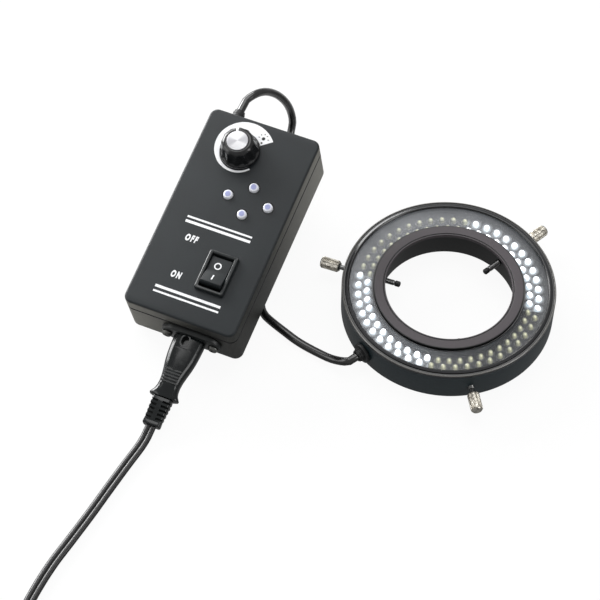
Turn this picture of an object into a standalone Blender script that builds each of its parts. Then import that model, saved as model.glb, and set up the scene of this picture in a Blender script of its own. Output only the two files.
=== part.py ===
# Microscope ring light: a tilted control box, its mains lead and a ring with four LED zones.
# Metres, Z up. The box leans on the coil of the lamp cable; the ring lies flat beside it.

import math

import bmesh
import bpy
import numpy as np
from mathutils import Matrix, Vector

MM = 0.001

# Fits that every piece shares
GAP = 0.3 * MM
OVERRUN = 1.0 * MM
SINK = 0.4 * MM
SMALL_STEPS = 10
END_STEPS = 8
CURVE_STEPS = 16
CORNER_STEPS = 4
SHARP_ANGLE = math.radians(35)
COIL_STEPS = 12
ROUND_STEPS = 24
MERGE = 0.005 * MM

# Where the box and the ring stand
BOX_X = -74.4 * MM
BOX_Y = -33.5 * MM
BOX_YAW = math.radians(-23.0)
BOX_TILT = math.radians(13.0)
RING_X = 50.7 * MM
RING_Y = -12.9 * MM

# Control box
BOX_WIDTH = 57.0 * MM
BOX_LENGTH = 108.0 * MM
BOX_HEIGHT = 29.0 * MM
INLET_MID_TO_PARTING = 6.5 * MM
WALL = 2.0 * MM
CORNER = 4.0 * MM
FACE_EDGE = 1.2 * MM
BASE_EDGE = 1.5 * MM
MID_HEIGHT = BOX_HEIGHT / 2
FACE_UNDER = BOX_HEIGHT - WALL
PARTING = MID_HEIGHT + INLET_MID_TO_PARTING

# Case screws, their posts and the feet
POST_OUT = 24.0 * MM
POST_INSET = 20.0 * MM
POST_RADIUS = 3.0 * MM
CASE_SCREW_RADIUS = 1.4 * MM
CASE_HEAD_RADIUS = 2.4 * MM
CASE_HEAD_HEIGHT = 1.6 * MM
CASE_SCREW_SHORT_OF_FACE = 4.4 * MM
CASE_SCREW_LENGTH = BOX_HEIGHT - CASE_HEAD_HEIGHT - CASE_SCREW_SHORT_OF_FACE
FOOT_OUT = 20.5 * MM
FOOT_INSET = 10.0 * MM
FOOT_RADIUS = 4.0 * MM
FOOT_DROP = 2.0 * MM
FOOT_ROUND = 0.6 * MM
BOX_LIFT = FOOT_DROP * math.cos(BOX_TILT) - (FOOT_INSET - FOOT_RADIUS) * math.sin(BOX_TILT)

# Brightness knob on its potentiometer
KNOB_X = -6.4 * MM
KNOB_FROM_FAR_END = 18.0 * MM
KNOB_Y = BOX_LENGTH - KNOB_FROM_FAR_END
KNOB_RADIUS = 9.8 * MM
KNOB_TOP_RADIUS = 9.0 * MM
KNOB_HEIGHT = 10.5 * MM
KNOB_CLEAR = 0.9 * MM
KNOB_ROUND = 0.8 * MM
KNOB_SKIRT = 2.6 * MM
KNOB_BODY_RADIUS = 9.3 * MM
KNOB_RECESS_RADIUS = 7.7 * MM
KNOB_RECESS = 4.4 * MM
FLUTES = 12
FLUTE_STEPS = 6
FLUTE_RADIUS = 1.5 * MM
FLUTE_DEPTH = 0.55 * MM
CAP_RADIUS = 5.0 * MM
CAP_THICKNESS = 0.9 * MM
CAP_SEAT = 0.6 * MM
POT_RADIUS = 8.2 * MM
POT_HEIGHT = 7.0 * MM
BUSHING_RADIUS = 4.4 * MM
BUSHING_RISE = 4.2 * MM
NUT_RADIUS = 6.9 * MM
NUT_HEIGHT = 2.2 * MM
NUT_SIDES = 6
SHAFT_RADIUS = 3.0 * MM
SHAFT_SUNK = 2.6 * MM
SHAFT_RISE = 8.6 * MM

# Rocker switch
SWITCH_X = 8.4 * MM
SWITCH_Y = 27.4 * MM
BEZEL_WIDTH = 15.0 * MM
BEZEL_LENGTH = 21.0 * MM
BEZEL_HEIGHT = 2.0 * MM
BEZEL_CORNER = 1.2 * MM
BEZEL_EDGE = 0.5 * MM
SWITCH_BODY_WIDTH = 12.8 * MM
SWITCH_BODY_LENGTH = 19.0 * MM
SWITCH_BODY_DEPTH = 15.0 * MM
SWITCH_WELL = 9.0 * MM
ROCKER_WIDTH = 10.4 * MM
ROCKER_REACH = 7.7 * MM
ROCKER_RISE = 3.3 * MM
ROCKER_DIP = 1.7 * MM
ROCKER_BASE = 3.4 * MM
ROCKER_STEPS = 6
ROCKER_SWING = math.radians(12.0)
PIVOT_BELOW_BEZEL = 2.6 * MM
TRUNNION_RADIUS = 1.1 * MM
TRUNNION_OUT = 0.7 * MM
TERMINAL_WIDTH = 4.8 * MM
TERMINAL_THICKNESS = 0.8 * MM
TERMINAL_LENGTH = 6.0 * MM
TERMINAL_SPACING = 8.0 * MM

# Zone buttons over the key switches
BUTTONS_X = 7.4 * MM
BUTTONS_FROM_FAR_END = 41.0 * MM
BUTTONS_Y = BOX_LENGTH - BUTTONS_FROM_FAR_END
BUTTON_SIDE = 10.3 * MM
BUTTON_UP = 7.4 * MM
BUTTON_RADIUS = 2.4 * MM
BUTTON_RISE = 1.4 * MM
BUTTON_FLANGE = 3.3 * MM
BUTTON_FLANGE_THICKNESS = 0.8 * MM
BUTTON_STEM = 1.6 * MM
BUTTON_TRAVEL = 1.0 * MM
BUTTON_ROUND = 0.4 * MM
KEY_SIDE = 6.0 * MM
KEY_HEIGHT = 3.5 * MM
KEY_PLUNGER_RADIUS = 1.7 * MM

# Circuit board and what stands under it
BOARD_WIDTH = 41.0 * MM
BOARD_LENGTH = BOX_LENGTH / 2
BOARD_END_SPACE = 2.0 * MM
BOARD_THICKNESS = 1.6 * MM
BOARD_Y = BOX_LENGTH - WALL - BOARD_END_SPACE - BOARD_LENGTH / 2
STANDOFF_RADIUS = 2.4 * MM
STANDOFF_INSET = 3.6 * MM
BUTTON_BASE = FACE_UNDER - GAP - BUTTON_FLANGE_THICKNESS - BUTTON_STEM
PLUNGER_TOP = BUTTON_BASE - BUTTON_TRAVEL - GAP
KEY_STAND = 5.4 * MM
BOARD_TOP = PLUNGER_TOP - KEY_STAND
TRANSFORMER_X = -7.0 * MM
SUPPLY_FROM_FAR_END = 28.0 * MM
TRANSFORMER_Y = BOX_LENGTH - SUPPLY_FROM_FAR_END
CORE_BELOW_BOARD = 1.7 * MM
CORE_WIDTH = 24.0 * MM
CORE_LENGTH = 20.0 * MM
CORE_HEIGHT = BOARD_TOP - BOARD_THICKNESS - CORE_BELOW_BOARD - WALL - GAP
WINDING_WIDTH = 15.0 * MM
WINDING_LENGTH = 28.0 * MM
WINDING_SHARE = 2 / 3
WINDING_HEIGHT = CORE_HEIGHT * WINDING_SHARE
CAPACITOR_X = 12.5 * MM
CAPACITOR_Y = TRANSFORMER_Y
CAPACITOR_SHARE = 0.383
CAPACITOR_RADIUS = CORE_HEIGHT * CAPACITOR_SHARE
CAPACITOR_LENGTH = 18.0 * MM
CAPACITOR_GROOVE = 0.5 * MM
CAPACITOR_GROOVE_WIDTH = 1.2 * MM

# Mains inlet in the near wall
INLET_X = 5.8 * MM
FLANGE_WIDTH = 30.0 * MM
FLANGE_HEIGHT = 13.0 * MM
FLANGE_THICKNESS = 2.4 * MM
INLET_WIDTH = 18.0 * MM
INLET_HEIGHT = 11.4 * MM
INLET_DEPTH = 12.0 * MM
SOCKET_WIDTH = 14.6 * MM
SOCKET_HEIGHT = 8.2 * MM
SOCKET_DEPTH = 11.0 * MM
PIN_RADIUS = 1.2 * MM
PIN_SPACING = 8.6 * MM
PIN_SHOWN = 8.0 * MM
PIN_TAIL = 3.0 * MM
EAR_SPACING = 23.6 * MM
EAR_SCREW_RADIUS = 1.4 * MM
EAR_HEAD_RADIUS = 2.6 * MM
EAR_HEAD_HEIGHT = 1.5 * MM
EAR_CROWN_SHARE = 0.7
EAR_RIM_SHARE = 0.3
EAR_SCREW_LENGTH = 8.0 * MM

# Mains connector and its strain relief, with the flat lead
CONNECTOR_HALF = 7.8 * MM
CONNECTOR_WAIST = 5.3 * MM
CONNECTOR_WING = 7.4 * MM
CONNECTOR_SHARES = [(0.0, "half", 1.0), (0.22, "half", 0.96), (0.45, "half", 0.84), (0.66, "waist", 1.08),
                    (0.82, "waist", 1.0), (0.9, "waist", 1.12), (0.95, "wing", 0.98), (0.99, "wing", 1.0),
                    (1.0, "waist", 0.92)]
CONNECTOR_THICKNESS = 9.4 * MM
CONNECTOR_LENGTH = 31.0 * MM
CONNECTOR_EDGE = 1.1 * MM
NOSE_WIDTH = SOCKET_WIDTH - 2 * GAP
NOSE_HEIGHT = SOCKET_HEIGHT - 2 * GAP
NOSE_LENGTH = 9.6 * MM
PIN_HOLE_DEPTH = 9.6 * MM
THUMB_WIDTH = 7.0 * MM
THUMB_LENGTH = 8.0 * MM
THUMB_DEPTH = 0.7 * MM
GRIPS = 4
GRIP_LENGTH = 7.4 * MM
GRIP_WIDTH = 0.8 * MM
GRIP_PITCH = 1.9 * MM
GRIP_RISE = 0.5 * MM
RELIEF_WIDTH = 9.4 * MM
RELIEF_END_WIDTH = 8.4 * MM
RELIEF_THICKNESS = 6.0 * MM
RELIEF_END_THICKNESS = 4.4 * MM
RELIEF_LENGTH = 14.0 * MM
RELIEF_SLOTS = 5
RELIEF_SLOT = 1.2 * MM
RELIEF_SPINE = 3.0 * MM
CORD_WIDTH = 5.2 * MM
CORD_THICKNESS = 2.8 * MM
CORD_STEP = 12.0 * MM
MAINS_ROUTE = [(-93.2, -91.9, 2.4), (-99.0, -101.0, 1.8), (-106.8, -114.1, 1.6), (-114.6, -127.6, 1.6),
               (-122.5, -140.6, 1.6), (-130.2, -153.3, 1.6), (-138.4, -170.5, 1.6)]
MAINS_COIL_X = -119.5 * MM
MAINS_COIL_Y = -222.9 * MM
MAINS_COIL_RADIUS = 27.6 * MM
MAINS_PITCH = 5.9 * MM
MAINS_LAYER = 3.4 * MM
MAINS_LAYERS = 4
MAINS_TURNS = 9.35
MAINS_START = math.radians(165.0)
MAINS_TIE_ANGLE = math.radians(80.0)
PLUG_WIDTH = 24.0 * MM
PLUG_THICKNESS = 14.0 * MM
PLUG_LENGTH = 26.0 * MM
PLUG_NECK_WIDTH = 9.0 * MM
PLUG_NECK_THICKNESS = 6.0 * MM
PLUG_NECK = 11.0 * MM
PLUG_EDGE = 1.6 * MM
PLUG_AWAY = 26.0 * MM
BLADE_WIDTH = 6.35 * MM
BLADE_THICKNESS = 1.5 * MM
BLADE_LENGTH = 17.0 * MM
BLADE_SUNK = 5.0 * MM
BLADE_SPACING = 12.7 * MM
BLADE_POINT = 1.4 * MM

# Lamp cable, its gland in the far wall and its bush in the ring
CABLE_RADIUS = 2.0 * MM
CABLE_STEP = 9.0 * MM
GLAND_X = -19.5 * MM
GLAND_RADIUS = 3.6 * MM
GLAND_LIP = 5.2 * MM
GLAND_LIP_THICKNESS = 1.6 * MM
GLAND_END = 2.8 * MM
GLAND_LENGTH = 8.0 * MM
GLAND_RIB = 0.7 * MM
GLAND_RIBS = 2
GLAND_RIB_SHARE = 0.5
GLAND_FROM_BOX = [(-19.2, 123.0, 14.5), (-17.7, 126.4, 14.0), (-15.6, 130.6, 11.8), (-13.0, 134.6, 7.3),
                  (-9.6, 137.2, 1.6), (-6.1, 137.8, -4.7), (-3.6, 136.7, -10.6), (-1.8, 133.8, -15.6),
                  (-0.9, 128.0, -19.6), (5.5, 115.7, -18.7)]
LAMP_ROUTE = [(-32.6, 6.5, 2.4), (-37.3, -5.5, 2.2), (-38.8, -12.4, 2.2), (-37.2, -18.4, 2.2),
              (-33.2, -23.0, 2.2), (-27.7, -28.2, 2.2), (-21.0, -34.2, 2.2), (-12.3, -40.2, 2.4),
              (-4.2, -45.4, 3.8)]
COIL_FROM_EDGE = 72.2 * MM
COIL_ASIDE = -7.0 * MM
LAMP_COIL_RADIUS = 19.5 * MM
LAMP_PITCH = 4.5 * MM
LAMP_LAYER = 4.5 * MM
LAMP_LAYERS = 2
LAMP_TURNS = 8.08
LAMP_START = math.radians(-22.5)
LAMP_TIE_ANGLE = math.radians(75.0)
CLIMB_SHARE = 0.5
TIE_THICKNESS = 0.7 * MM
TIE_WIDTH = 5.0 * MM
TIE_CLEAR = 0.5 * MM
BUSH_ANGLE = math.radians(217.0)
BUSH_LENGTH = 4.0 * MM
BUSH_HEIGHT = 7.5 * MM

# Ring light
RING_RADIUS = 51.0 * MM
RING_HEIGHT = 18.0 * MM
RING_WALL = 2.0 * MM
BORE_RADIUS = 33.0 * MM
BASE_CHAMFER = 0.7 * MM
BEZEL_DEPTH = 2.1 * MM
BEZEL_BAND = 3.7 * MM
BEZEL_CHAMFER = 0.6 * MM
WINDOW_THICKNESS = 1.1 * MM
LIP_OVER_BORE = 2.8 * MM
LIP_RADIUS = BORE_RADIUS - LIP_OVER_BORE
COLLAR_OVER_WINDOW = 2.8 * MM
COLLAR_RADIUS = BORE_RADIUS + COLLAR_OVER_WINDOW
COLLAR_THICKNESS = 0.7 * MM
LIP_DEPTH = 1.9 * MM
SLEEVE_WALL = 1.1 * MM
SLEEVE_DEPTH = 3.2 * MM
RING_STEPS = 32
HOUSING_TOP = RING_HEIGHT - BEZEL_DEPTH - GAP
WINDOW_BASE = RING_HEIGHT - BEZEL_DEPTH
WINDOW_TOP = WINDOW_BASE + WINDOW_THICKNESS

# LED boards
ZONES = 4
LEDS_PER_ROW = 12
LED_ROW_SHARES = [(0.258, 0.75), (0.586, 0.25)]
LED_RADIUS = 1.5 * MM
LED_HEIGHT = 3.1 * MM
LED_STEPS = 5
LED_DOME_SHARES = [(0.0, 1.0), (0.8, 0.78)]
LED_BOARD_CLEAR = 0.6 * MM
BOARD_INNER = BORE_RADIUS + RING_WALL + LED_BOARD_CLEAR
BOARD_OUTER = RING_RADIUS - RING_WALL - LED_BOARD_CLEAR
LED_BOARD_THICKNESS = 1.2 * MM
LED_BOARD_INNER_HEIGHT = 9.4 * MM
LED_BOARD_SLOPE = math.radians(13.0)
LED_BOARD_STEPS = 9
ZONE_START = math.radians(75.0)
ZONE_SPLIT = 0.4 * MM

# Thumbscrews through the ring
SCREW_ANGLES = [math.radians(40.0), math.radians(160.0), math.radians(280.0)]
SCREW_HEIGHT = 7.5 * MM
SCREW_RADIUS = 1.4 * MM
SCREW_HEAD_RADIUS = 2.9 * MM
SCREW_HEAD_LENGTH = 10.0 * MM
SCREW_STANDS_OFF = 3.4 * MM
SCREW_INTO_BORE = 6.2 * MM
SCREW_END = BORE_RADIUS - SCREW_INTO_BORE
TIP_LENGTH = 2.6 * MM
TIP_RADIUS = 1.4 * MM
KNURLS = 12
KNURL_SHARE = 0.9
BOSS_RADIUS = 3.0 * MM
BOSS_LENGTH = 3.0 * MM


# Scene, materials and collections

def clear_scene():
    for thing in list(bpy.data.objects):
        bpy.data.objects.remove(thing, do_unlink=True)


def collection(name):
    made = bpy.data.collections.new(name)
    bpy.context.scene.collection.children.link(made)
    return made


def material(name, colour, roughness, metallic=0.0, alpha=1.0):
    made = bpy.data.materials.new(name)
    made.use_nodes = True
    shader = made.node_tree.nodes["Principled BSDF"]
    shader.inputs["Base Color"].default_value = (*colour, 1.0)
    shader.inputs["Roughness"].default_value = roughness
    shader.inputs["Metallic"].default_value = metallic
    shader.inputs["Alpha"].default_value = alpha
    return made


clear_scene()
PARTS = collection("microscope_ring_light")
CUTTERS = collection("cutters")

CHARCOAL = ((0.058, 0.064, 0.068), 0.45, 0.0)
BLACK = ((0.012, 0.012, 0.013), 0.35, 0.0)
RUBBER = ((0.018, 0.018, 0.018), 0.8, 0.0)
ALUMINIUM = ((0.62, 0.62, 0.62), 0.3, 1.0)
ANODISED = ((0.025, 0.03, 0.033), 0.4, 0.6)
COLLAR_GREY = ((0.13, 0.13, 0.145), 0.5, 0.3)
NICKEL = ((0.6, 0.59, 0.56), 0.22, 1.0)
WHITE = ((0.8, 0.8, 0.78), 0.4, 0.0)
LED_GLASS = ((0.78, 0.79, 0.6), 0.15, 0.0)
BOARD_GREEN = ((0.02, 0.13, 0.05), 0.5, 0.0)
STEEL = ((0.45, 0.45, 0.45), 0.35, 1.0)
NYLON = ((0.02, 0.02, 0.02), 0.6, 0.0)
WINDING = ((0.5, 0.35, 0.1), 0.5, 0.0)


def dress(thing, look):
    colour, roughness, metallic = look
    thing.data.materials.clear()
    thing.data.materials.append(material(thing.name, colour, roughness, metallic))
    return thing


def add_object(name, mesh, frame, look=None):
    """A part if it has a look, otherwise a cutter that the build leaves out."""
    thing = bpy.data.objects.new(name, mesh)
    (PARTS if look else CUTTERS).objects.link(thing)
    thing.parent = frame
    if look:
        return dress(thing, look)
    thing.hide_render = True
    thing.display_type = "WIRE"
    return thing


def empty(name, frame, place, turn=(0, 0, 0)):
    thing = bpy.data.objects.new(name, None)
    CUTTERS.objects.link(thing)
    thing.parent = frame
    thing.location = place
    thing.rotation_euler = turn
    return thing


def shade(thing):
    thing.data.shade_smooth()
    thing.data.set_sharp_from_angle(angle=SHARP_ANGLE)
    return thing


def boolean(thing, other, operation):
    step = thing.modifiers.new(other.name, "BOOLEAN")
    step.operation = operation
    step.object = other
    return thing


def cut(thing, *others):
    for other in others:
        boolean(thing, other, "DIFFERENCE")
    return thing


def join(thing, *others):
    for other in others:
        boolean(thing, other, "UNION")
    return thing


# Basic shapes

def block(name, frame, size, centre, look=None, corner=0.0, edge=0.0, edges="both", steps=CORNER_STEPS):
    """A box with its upright corners rounded, and its top or bottom rim too."""
    mesh = bpy.data.meshes.new(name)
    shape = bmesh.new()
    bmesh.ops.create_cube(shape, size=1.0, matrix=Matrix.Diagonal((*size, 1.0)))
    if corner:
        upright = [e for e in shape.edges if abs((e.verts[0].co - e.verts[1].co).z) > size[2] / 2]
        bmesh.ops.bevel(shape, geom=upright, offset=corner, segments=steps, profile=0.5, affect="EDGES")
    if edge:
        rims = {"top": [1], "bottom": [-1], "both": [1, -1]}[edges]
        flat = [f for f in shape.faces for side in rims if f.normal.z * side > 0.99]
        rim = list({e for f in flat for e in f.edges})
        bmesh.ops.bevel(shape, geom=rim, offset=edge, segments=2, profile=0.5, affect="EDGES")
    bmesh.ops.translate(shape, verts=shape.verts, vec=centre)
    shape.to_mesh(mesh)
    shape.free()
    thing = add_object(name, mesh, frame, look)
    return shade(thing) if corner or edge else thing


def rod(name, frame, radius, start, end, look=None, steps=SMALL_STEPS):
    """A round bar between two points."""
    start, end = Vector(start), Vector(end)
    along = end - start
    turn = along.to_track_quat("Z", "Y").to_matrix().to_4x4()
    mesh = bpy.data.meshes.new(name)
    shape = bmesh.new()
    bmesh.ops.create_cone(shape, cap_ends=True, segments=steps, radius1=radius, radius2=radius,
                          depth=along.length, matrix=Matrix.Translation((start + end) / 2) @ turn)
    shape.to_mesh(mesh)
    shape.free()
    return shade(add_object(name, mesh, frame, look))


def turned(name, frame, profile, look=None, steps=ROUND_STEPS, closed=False):
    """A turned shape about the frame's Z axis, from a profile of (radius, height)."""
    mesh = bpy.data.meshes.new(name)
    points = [(radius, 0, height) for radius, height in profile]
    edges = [(i, i + 1) for i in range(len(points) - 1)]
    if closed:
        edges.append((len(points) - 1, 0))
    mesh.from_pydata(points, edges, [])
    thing = add_object(name, mesh, frame, look)
    screw = thing.modifiers.new("turn", "SCREW")
    screw.steps = steps
    screw.render_steps = steps
    screw.use_merge_vertices = True
    screw.merge_threshold = MERGE
    return thing


def mesh_from_curve(curve, frame, look=None):
    """The evaluated curve as a welded mesh object of the same name."""
    name = curve.name
    bpy.context.view_layer.update()
    graph = bpy.context.evaluated_depsgraph_get()
    mesh = bpy.data.meshes.new_from_object(curve.evaluated_get(graph))
    place = curve.matrix_local.copy()
    bpy.data.objects.remove(curve)
    shape = bmesh.new()
    shape.from_mesh(mesh)
    bmesh.ops.remove_doubles(shape, verts=shape.verts, dist=MERGE)
    shape.to_mesh(mesh)
    shape.free()
    mesh.name = name
    thing = add_object(name, mesh, frame, look)
    thing.matrix_local = place
    return thing


def plate(name, frame, outline, thickness, look=None, place=(0, 0, 0), turn=(0, 0, 0)):
    """A flat outline with a thickness, centred on its plane."""
    curve = bpy.data.curves.new(name, "CURVE")
    curve.dimensions = "2D"
    curve.fill_mode = "BOTH"
    curve.extrude = thickness / 2
    line = curve.splines.new("POLY")
    line.points.add(len(outline) - 1)
    for point, (x, y) in zip(line.points, outline, strict=True):
        point.co = (x, y, 0, 1)
    line.use_cyclic_u = True
    thing = add_object(name, curve, frame)
    thing.location = place
    thing.rotation_euler = turn
    return mesh_from_curve(thing, frame, look)


def arc(radius, start, end, steps):
    return [(radius * math.cos(start + (end - start) * i / steps),
             radius * math.sin(start + (end - start) * i / steps)) for i in range(steps + 1)]


# Frames

BOX = empty("box_frame", None, (BOX_X, BOX_Y, BOX_LIFT), (BOX_TILT, 0, BOX_YAW))
RING = empty("ring_frame", None, (RING_X, RING_Y, 0))


def box_turn():
    return BOX.rotation_euler.to_matrix()


def box_point(place):
    return BOX.location + box_turn() @ Vector(place)


def near_frame():
    """At the middle of the mains inlet, Z out of the near wall."""
    return empty("inlet_frame", BOX, (INLET_X, 0, MID_HEIGHT), (math.pi / 2, 0, 0))


def far_frame():
    """At the middle of the cable gland, Z out of the far wall."""
    return empty("gland_frame", BOX, (GLAND_X, BOX_LENGTH, MID_HEIGHT), (-math.pi / 2, 0, 0))


def corner_places(out, inset):
    return [(side * out, y) for y in (inset, BOX_LENGTH - inset) for side in (-1, 1)]


# Case shells, feet and screws

def lower_shell():
    middle = BOX_LENGTH / 2
    shell = block("box_bottom_cover", BOX, (BOX_WIDTH, BOX_LENGTH, PARTING), (0, middle, PARTING / 2),
                  CHARCOAL, CORNER, BASE_EDGE, "bottom")
    room = block("room_below", BOX, (BOX_WIDTH - 2 * WALL, BOX_LENGTH - 2 * WALL, PARTING),
                 (0, middle, PARTING / 2 + WALL), None, CORNER - WALL)
    cut(shell, room)
    for n, (x, y) in enumerate(corner_places(POST_OUT, POST_INSET)):
        join(shell, rod(f"post_{n}", BOX, POST_RADIUS, (x, y, WALL / 2), (x, y, PARTING - GAP)))
    for n, (x, y) in enumerate(standoff_places()):
        top = BOARD_TOP - BOARD_THICKNESS - GAP
        join(shell, rod(f"standoff_{n}", BOX, STANDOFF_RADIUS, (x, y, WALL / 2), (x, y, top)))
    for n, (x, y) in enumerate(corner_places(POST_OUT, POST_INSET)):
        cut(shell, rod(f"screw_way_{n}", BOX, CASE_SCREW_RADIUS + GAP, (x, y, -OVERRUN),
                       (x, y, PARTING + OVERRUN)))
        cut(shell, rod(f"screw_seat_{n}", BOX, CASE_HEAD_RADIUS + GAP, (x, y, -OVERRUN),
                       (x, y, CASE_HEAD_HEIGHT + GAP)))
    cut_wall_holes(shell)
    return shell


def cut_wall_holes(shell):
    hole = block("inlet_way", BOX, (INLET_WIDTH + 2 * GAP, 2 * WALL + 2 * OVERRUN, INLET_HEIGHT + 2 * GAP),
                 (INLET_X, 0, MID_HEIGHT))
    cut(shell, hole)
    for side in (-1, 1):
        x = INLET_X + side * EAR_SPACING / 2
        cut(shell, rod(f"ear_way_{side}", BOX, EAR_SCREW_RADIUS + GAP, (x, -OVERRUN, MID_HEIGHT),
                       (x, WALL + OVERRUN, MID_HEIGHT)))
    cut(shell, rod("gland_way", BOX, GLAND_RADIUS + GAP, (GLAND_X, BOX_LENGTH - WALL - OVERRUN, MID_HEIGHT),
                   (GLAND_X, BOX_LENGTH + OVERRUN, MID_HEIGHT)))


def face_cover():
    depth = BOX_HEIGHT - PARTING - GAP
    middle = BOX_LENGTH / 2
    cover = block("box_top_cover", BOX, (BOX_WIDTH, BOX_LENGTH, depth), (0, middle, BOX_HEIGHT - depth / 2),
                  CHARCOAL, CORNER, FACE_EDGE, "top")
    room = block("room_above", BOX, (BOX_WIDTH - 2 * WALL, BOX_LENGTH - 2 * WALL, depth),
                 (0, middle, BOX_HEIGHT - depth / 2 - WALL), None, CORNER - WALL)
    cut(cover, room)
    for n, (x, y) in enumerate(corner_places(POST_OUT, POST_INSET)):
        join(cover, rod(f"boss_{n}", BOX, POST_RADIUS, (x, y, PARTING + GAP), (x, y, FACE_UNDER + WALL / 2)))
    for n, (x, y) in enumerate(corner_places(POST_OUT, POST_INSET)):
        cut(cover, rod(f"boss_bore_{n}", BOX, CASE_SCREW_RADIUS + GAP, (x, y, PARTING - OVERRUN),
                       (x, y, CASE_SCREW_LENGTH + CASE_HEAD_HEIGHT + GAP)))
    way = 2 * OVERRUN + WALL
    cut(cover, block("switch_way", BOX, (SWITCH_BODY_WIDTH + 2 * GAP, SWITCH_BODY_LENGTH + 2 * GAP, way),
                     (SWITCH_X, SWITCH_Y, BOX_HEIGHT - WALL / 2)))
    cut(cover, rod("bushing_way", BOX, BUSHING_RADIUS + GAP, (KNOB_X, KNOB_Y, FACE_UNDER - OVERRUN),
                   (KNOB_X, KNOB_Y, BOX_HEIGHT + OVERRUN), steps=ROUND_STEPS))
    for n, (x, y) in enumerate(button_places()):
        cut(cover, rod(f"button_way_{n}", BOX, BUTTON_RADIUS + GAP, (x, y, FACE_UNDER - OVERRUN),
                       (x, y, BOX_HEIGHT + OVERRUN)))
    return cover


def case_screws():
    for n, (x, y) in enumerate(corner_places(POST_OUT, POST_INSET), 1):
        frame = empty(f"case_screw_{n}_frame", BOX, (x, y, 0))
        end = CASE_HEAD_HEIGHT + CASE_SCREW_LENGTH
        turned(f"case_screw_{n}", frame, [
            (0, end), (CASE_SCREW_RADIUS, end), (CASE_SCREW_RADIUS, CASE_HEAD_HEIGHT),
            (CASE_HEAD_RADIUS, CASE_HEAD_HEIGHT), (CASE_HEAD_RADIUS, GAP), (0, GAP)], STEEL, SMALL_STEPS)


def rubber_feet():
    for n, (x, y) in enumerate(corner_places(FOOT_OUT, FOOT_INSET), 1):
        frame = empty(f"foot_{n}_frame", BOX, (x, y, 0))
        turned(f"rubber_foot_{n}", frame, [
            (0, -GAP), (FOOT_RADIUS, -GAP), (FOOT_RADIUS, FOOT_ROUND - FOOT_DROP),
            (FOOT_RADIUS - FOOT_ROUND, -FOOT_DROP), (0, -FOOT_DROP)], RUBBER, SMALL_STEPS)


# Knob and potentiometer

def brightness_knob():
    frame = empty("knob_axis", BOX, (KNOB_X, KNOB_Y, BOX_HEIGHT))
    base = KNOB_CLEAR
    top = KNOB_CLEAR + KNOB_HEIGHT
    bore = SHAFT_RISE + GAP
    seat = top - CAP_SEAT
    knob = turned("brightness_knob", frame, [
        (0, seat), (CAP_RADIUS + GAP, seat), (CAP_RADIUS + GAP, top), (KNOB_TOP_RADIUS - KNOB_ROUND, top),
        (KNOB_TOP_RADIUS, top - KNOB_ROUND), (KNOB_BODY_RADIUS, base + KNOB_SKIRT),
        (KNOB_RADIUS, base + KNOB_SKIRT - KNOB_ROUND), (KNOB_RADIUS, base), (KNOB_RECESS_RADIUS, base),
        (KNOB_RECESS_RADIUS, base + KNOB_RECESS), (SHAFT_RADIUS + GAP, base + KNOB_RECESS),
        (SHAFT_RADIUS + GAP, bore), (0, bore)], BLACK, 2 * FLUTES)
    out = KNOB_BODY_RADIUS + FLUTE_RADIUS - FLUTE_DEPTH
    for n in range(FLUTES):
        turn = math.tau * (n + 0.5) / FLUTES
        x, y = out * math.cos(turn), out * math.sin(turn)
        lean = (KNOB_BODY_RADIUS - KNOB_TOP_RADIUS) / KNOB_BODY_RADIUS
        cut(knob, rod(f"flute_{n}", frame, FLUTE_RADIUS, (x, y, base + KNOB_SKIRT),
                      (x * (1 - lean), y * (1 - lean), top + OVERRUN), steps=FLUTE_STEPS))
    turned("knob_cap", frame, [
        (0, seat + GAP + CAP_THICKNESS), (CAP_RADIUS - GAP, seat + GAP + CAP_THICKNESS),
        (CAP_RADIUS, seat + CAP_THICKNESS), (CAP_RADIUS, seat + GAP), (0, seat + GAP)], ALUMINIUM)
    foot = FACE_UNDER - GAP - POT_HEIGHT + SHAFT_SUNK + GAP - BOX_HEIGHT
    turned("potentiometer_shaft", frame, [
        (0, SHAFT_RISE), (SHAFT_RADIUS, SHAFT_RISE), (SHAFT_RADIUS, foot), (0, foot)], STEEL, SMALL_STEPS)


def potentiometer():
    frame = empty("potentiometer_frame", BOX, (KNOB_X, KNOB_Y, BOX_HEIGHT))
    top = FACE_UNDER - GAP - BOX_HEIGHT
    base = top - POT_HEIGHT
    turned("potentiometer", frame, [
        (SHAFT_RADIUS + GAP, BUSHING_RISE), (BUSHING_RADIUS, BUSHING_RISE), (BUSHING_RADIUS, top),
        (POT_RADIUS, top), (POT_RADIUS, base), (0, base), (0, base + SHAFT_SUNK),
        (SHAFT_RADIUS + GAP, base + SHAFT_SUNK)], STEEL, ROUND_STEPS, closed=True)
    crown = GAP + NUT_HEIGHT
    nut = turned("potentiometer_nut", frame, [
        (0, crown), (NUT_RADIUS, crown), (NUT_RADIUS, GAP), (0, GAP)], NICKEL, NUT_SIDES)
    cut(nut, rod("nut_bore", frame, BUSHING_RADIUS + GAP, (0, 0, -OVERRUN), (0, 0, crown + OVERRUN),
                 steps=ROUND_STEPS))


# Rocker switch

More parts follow.
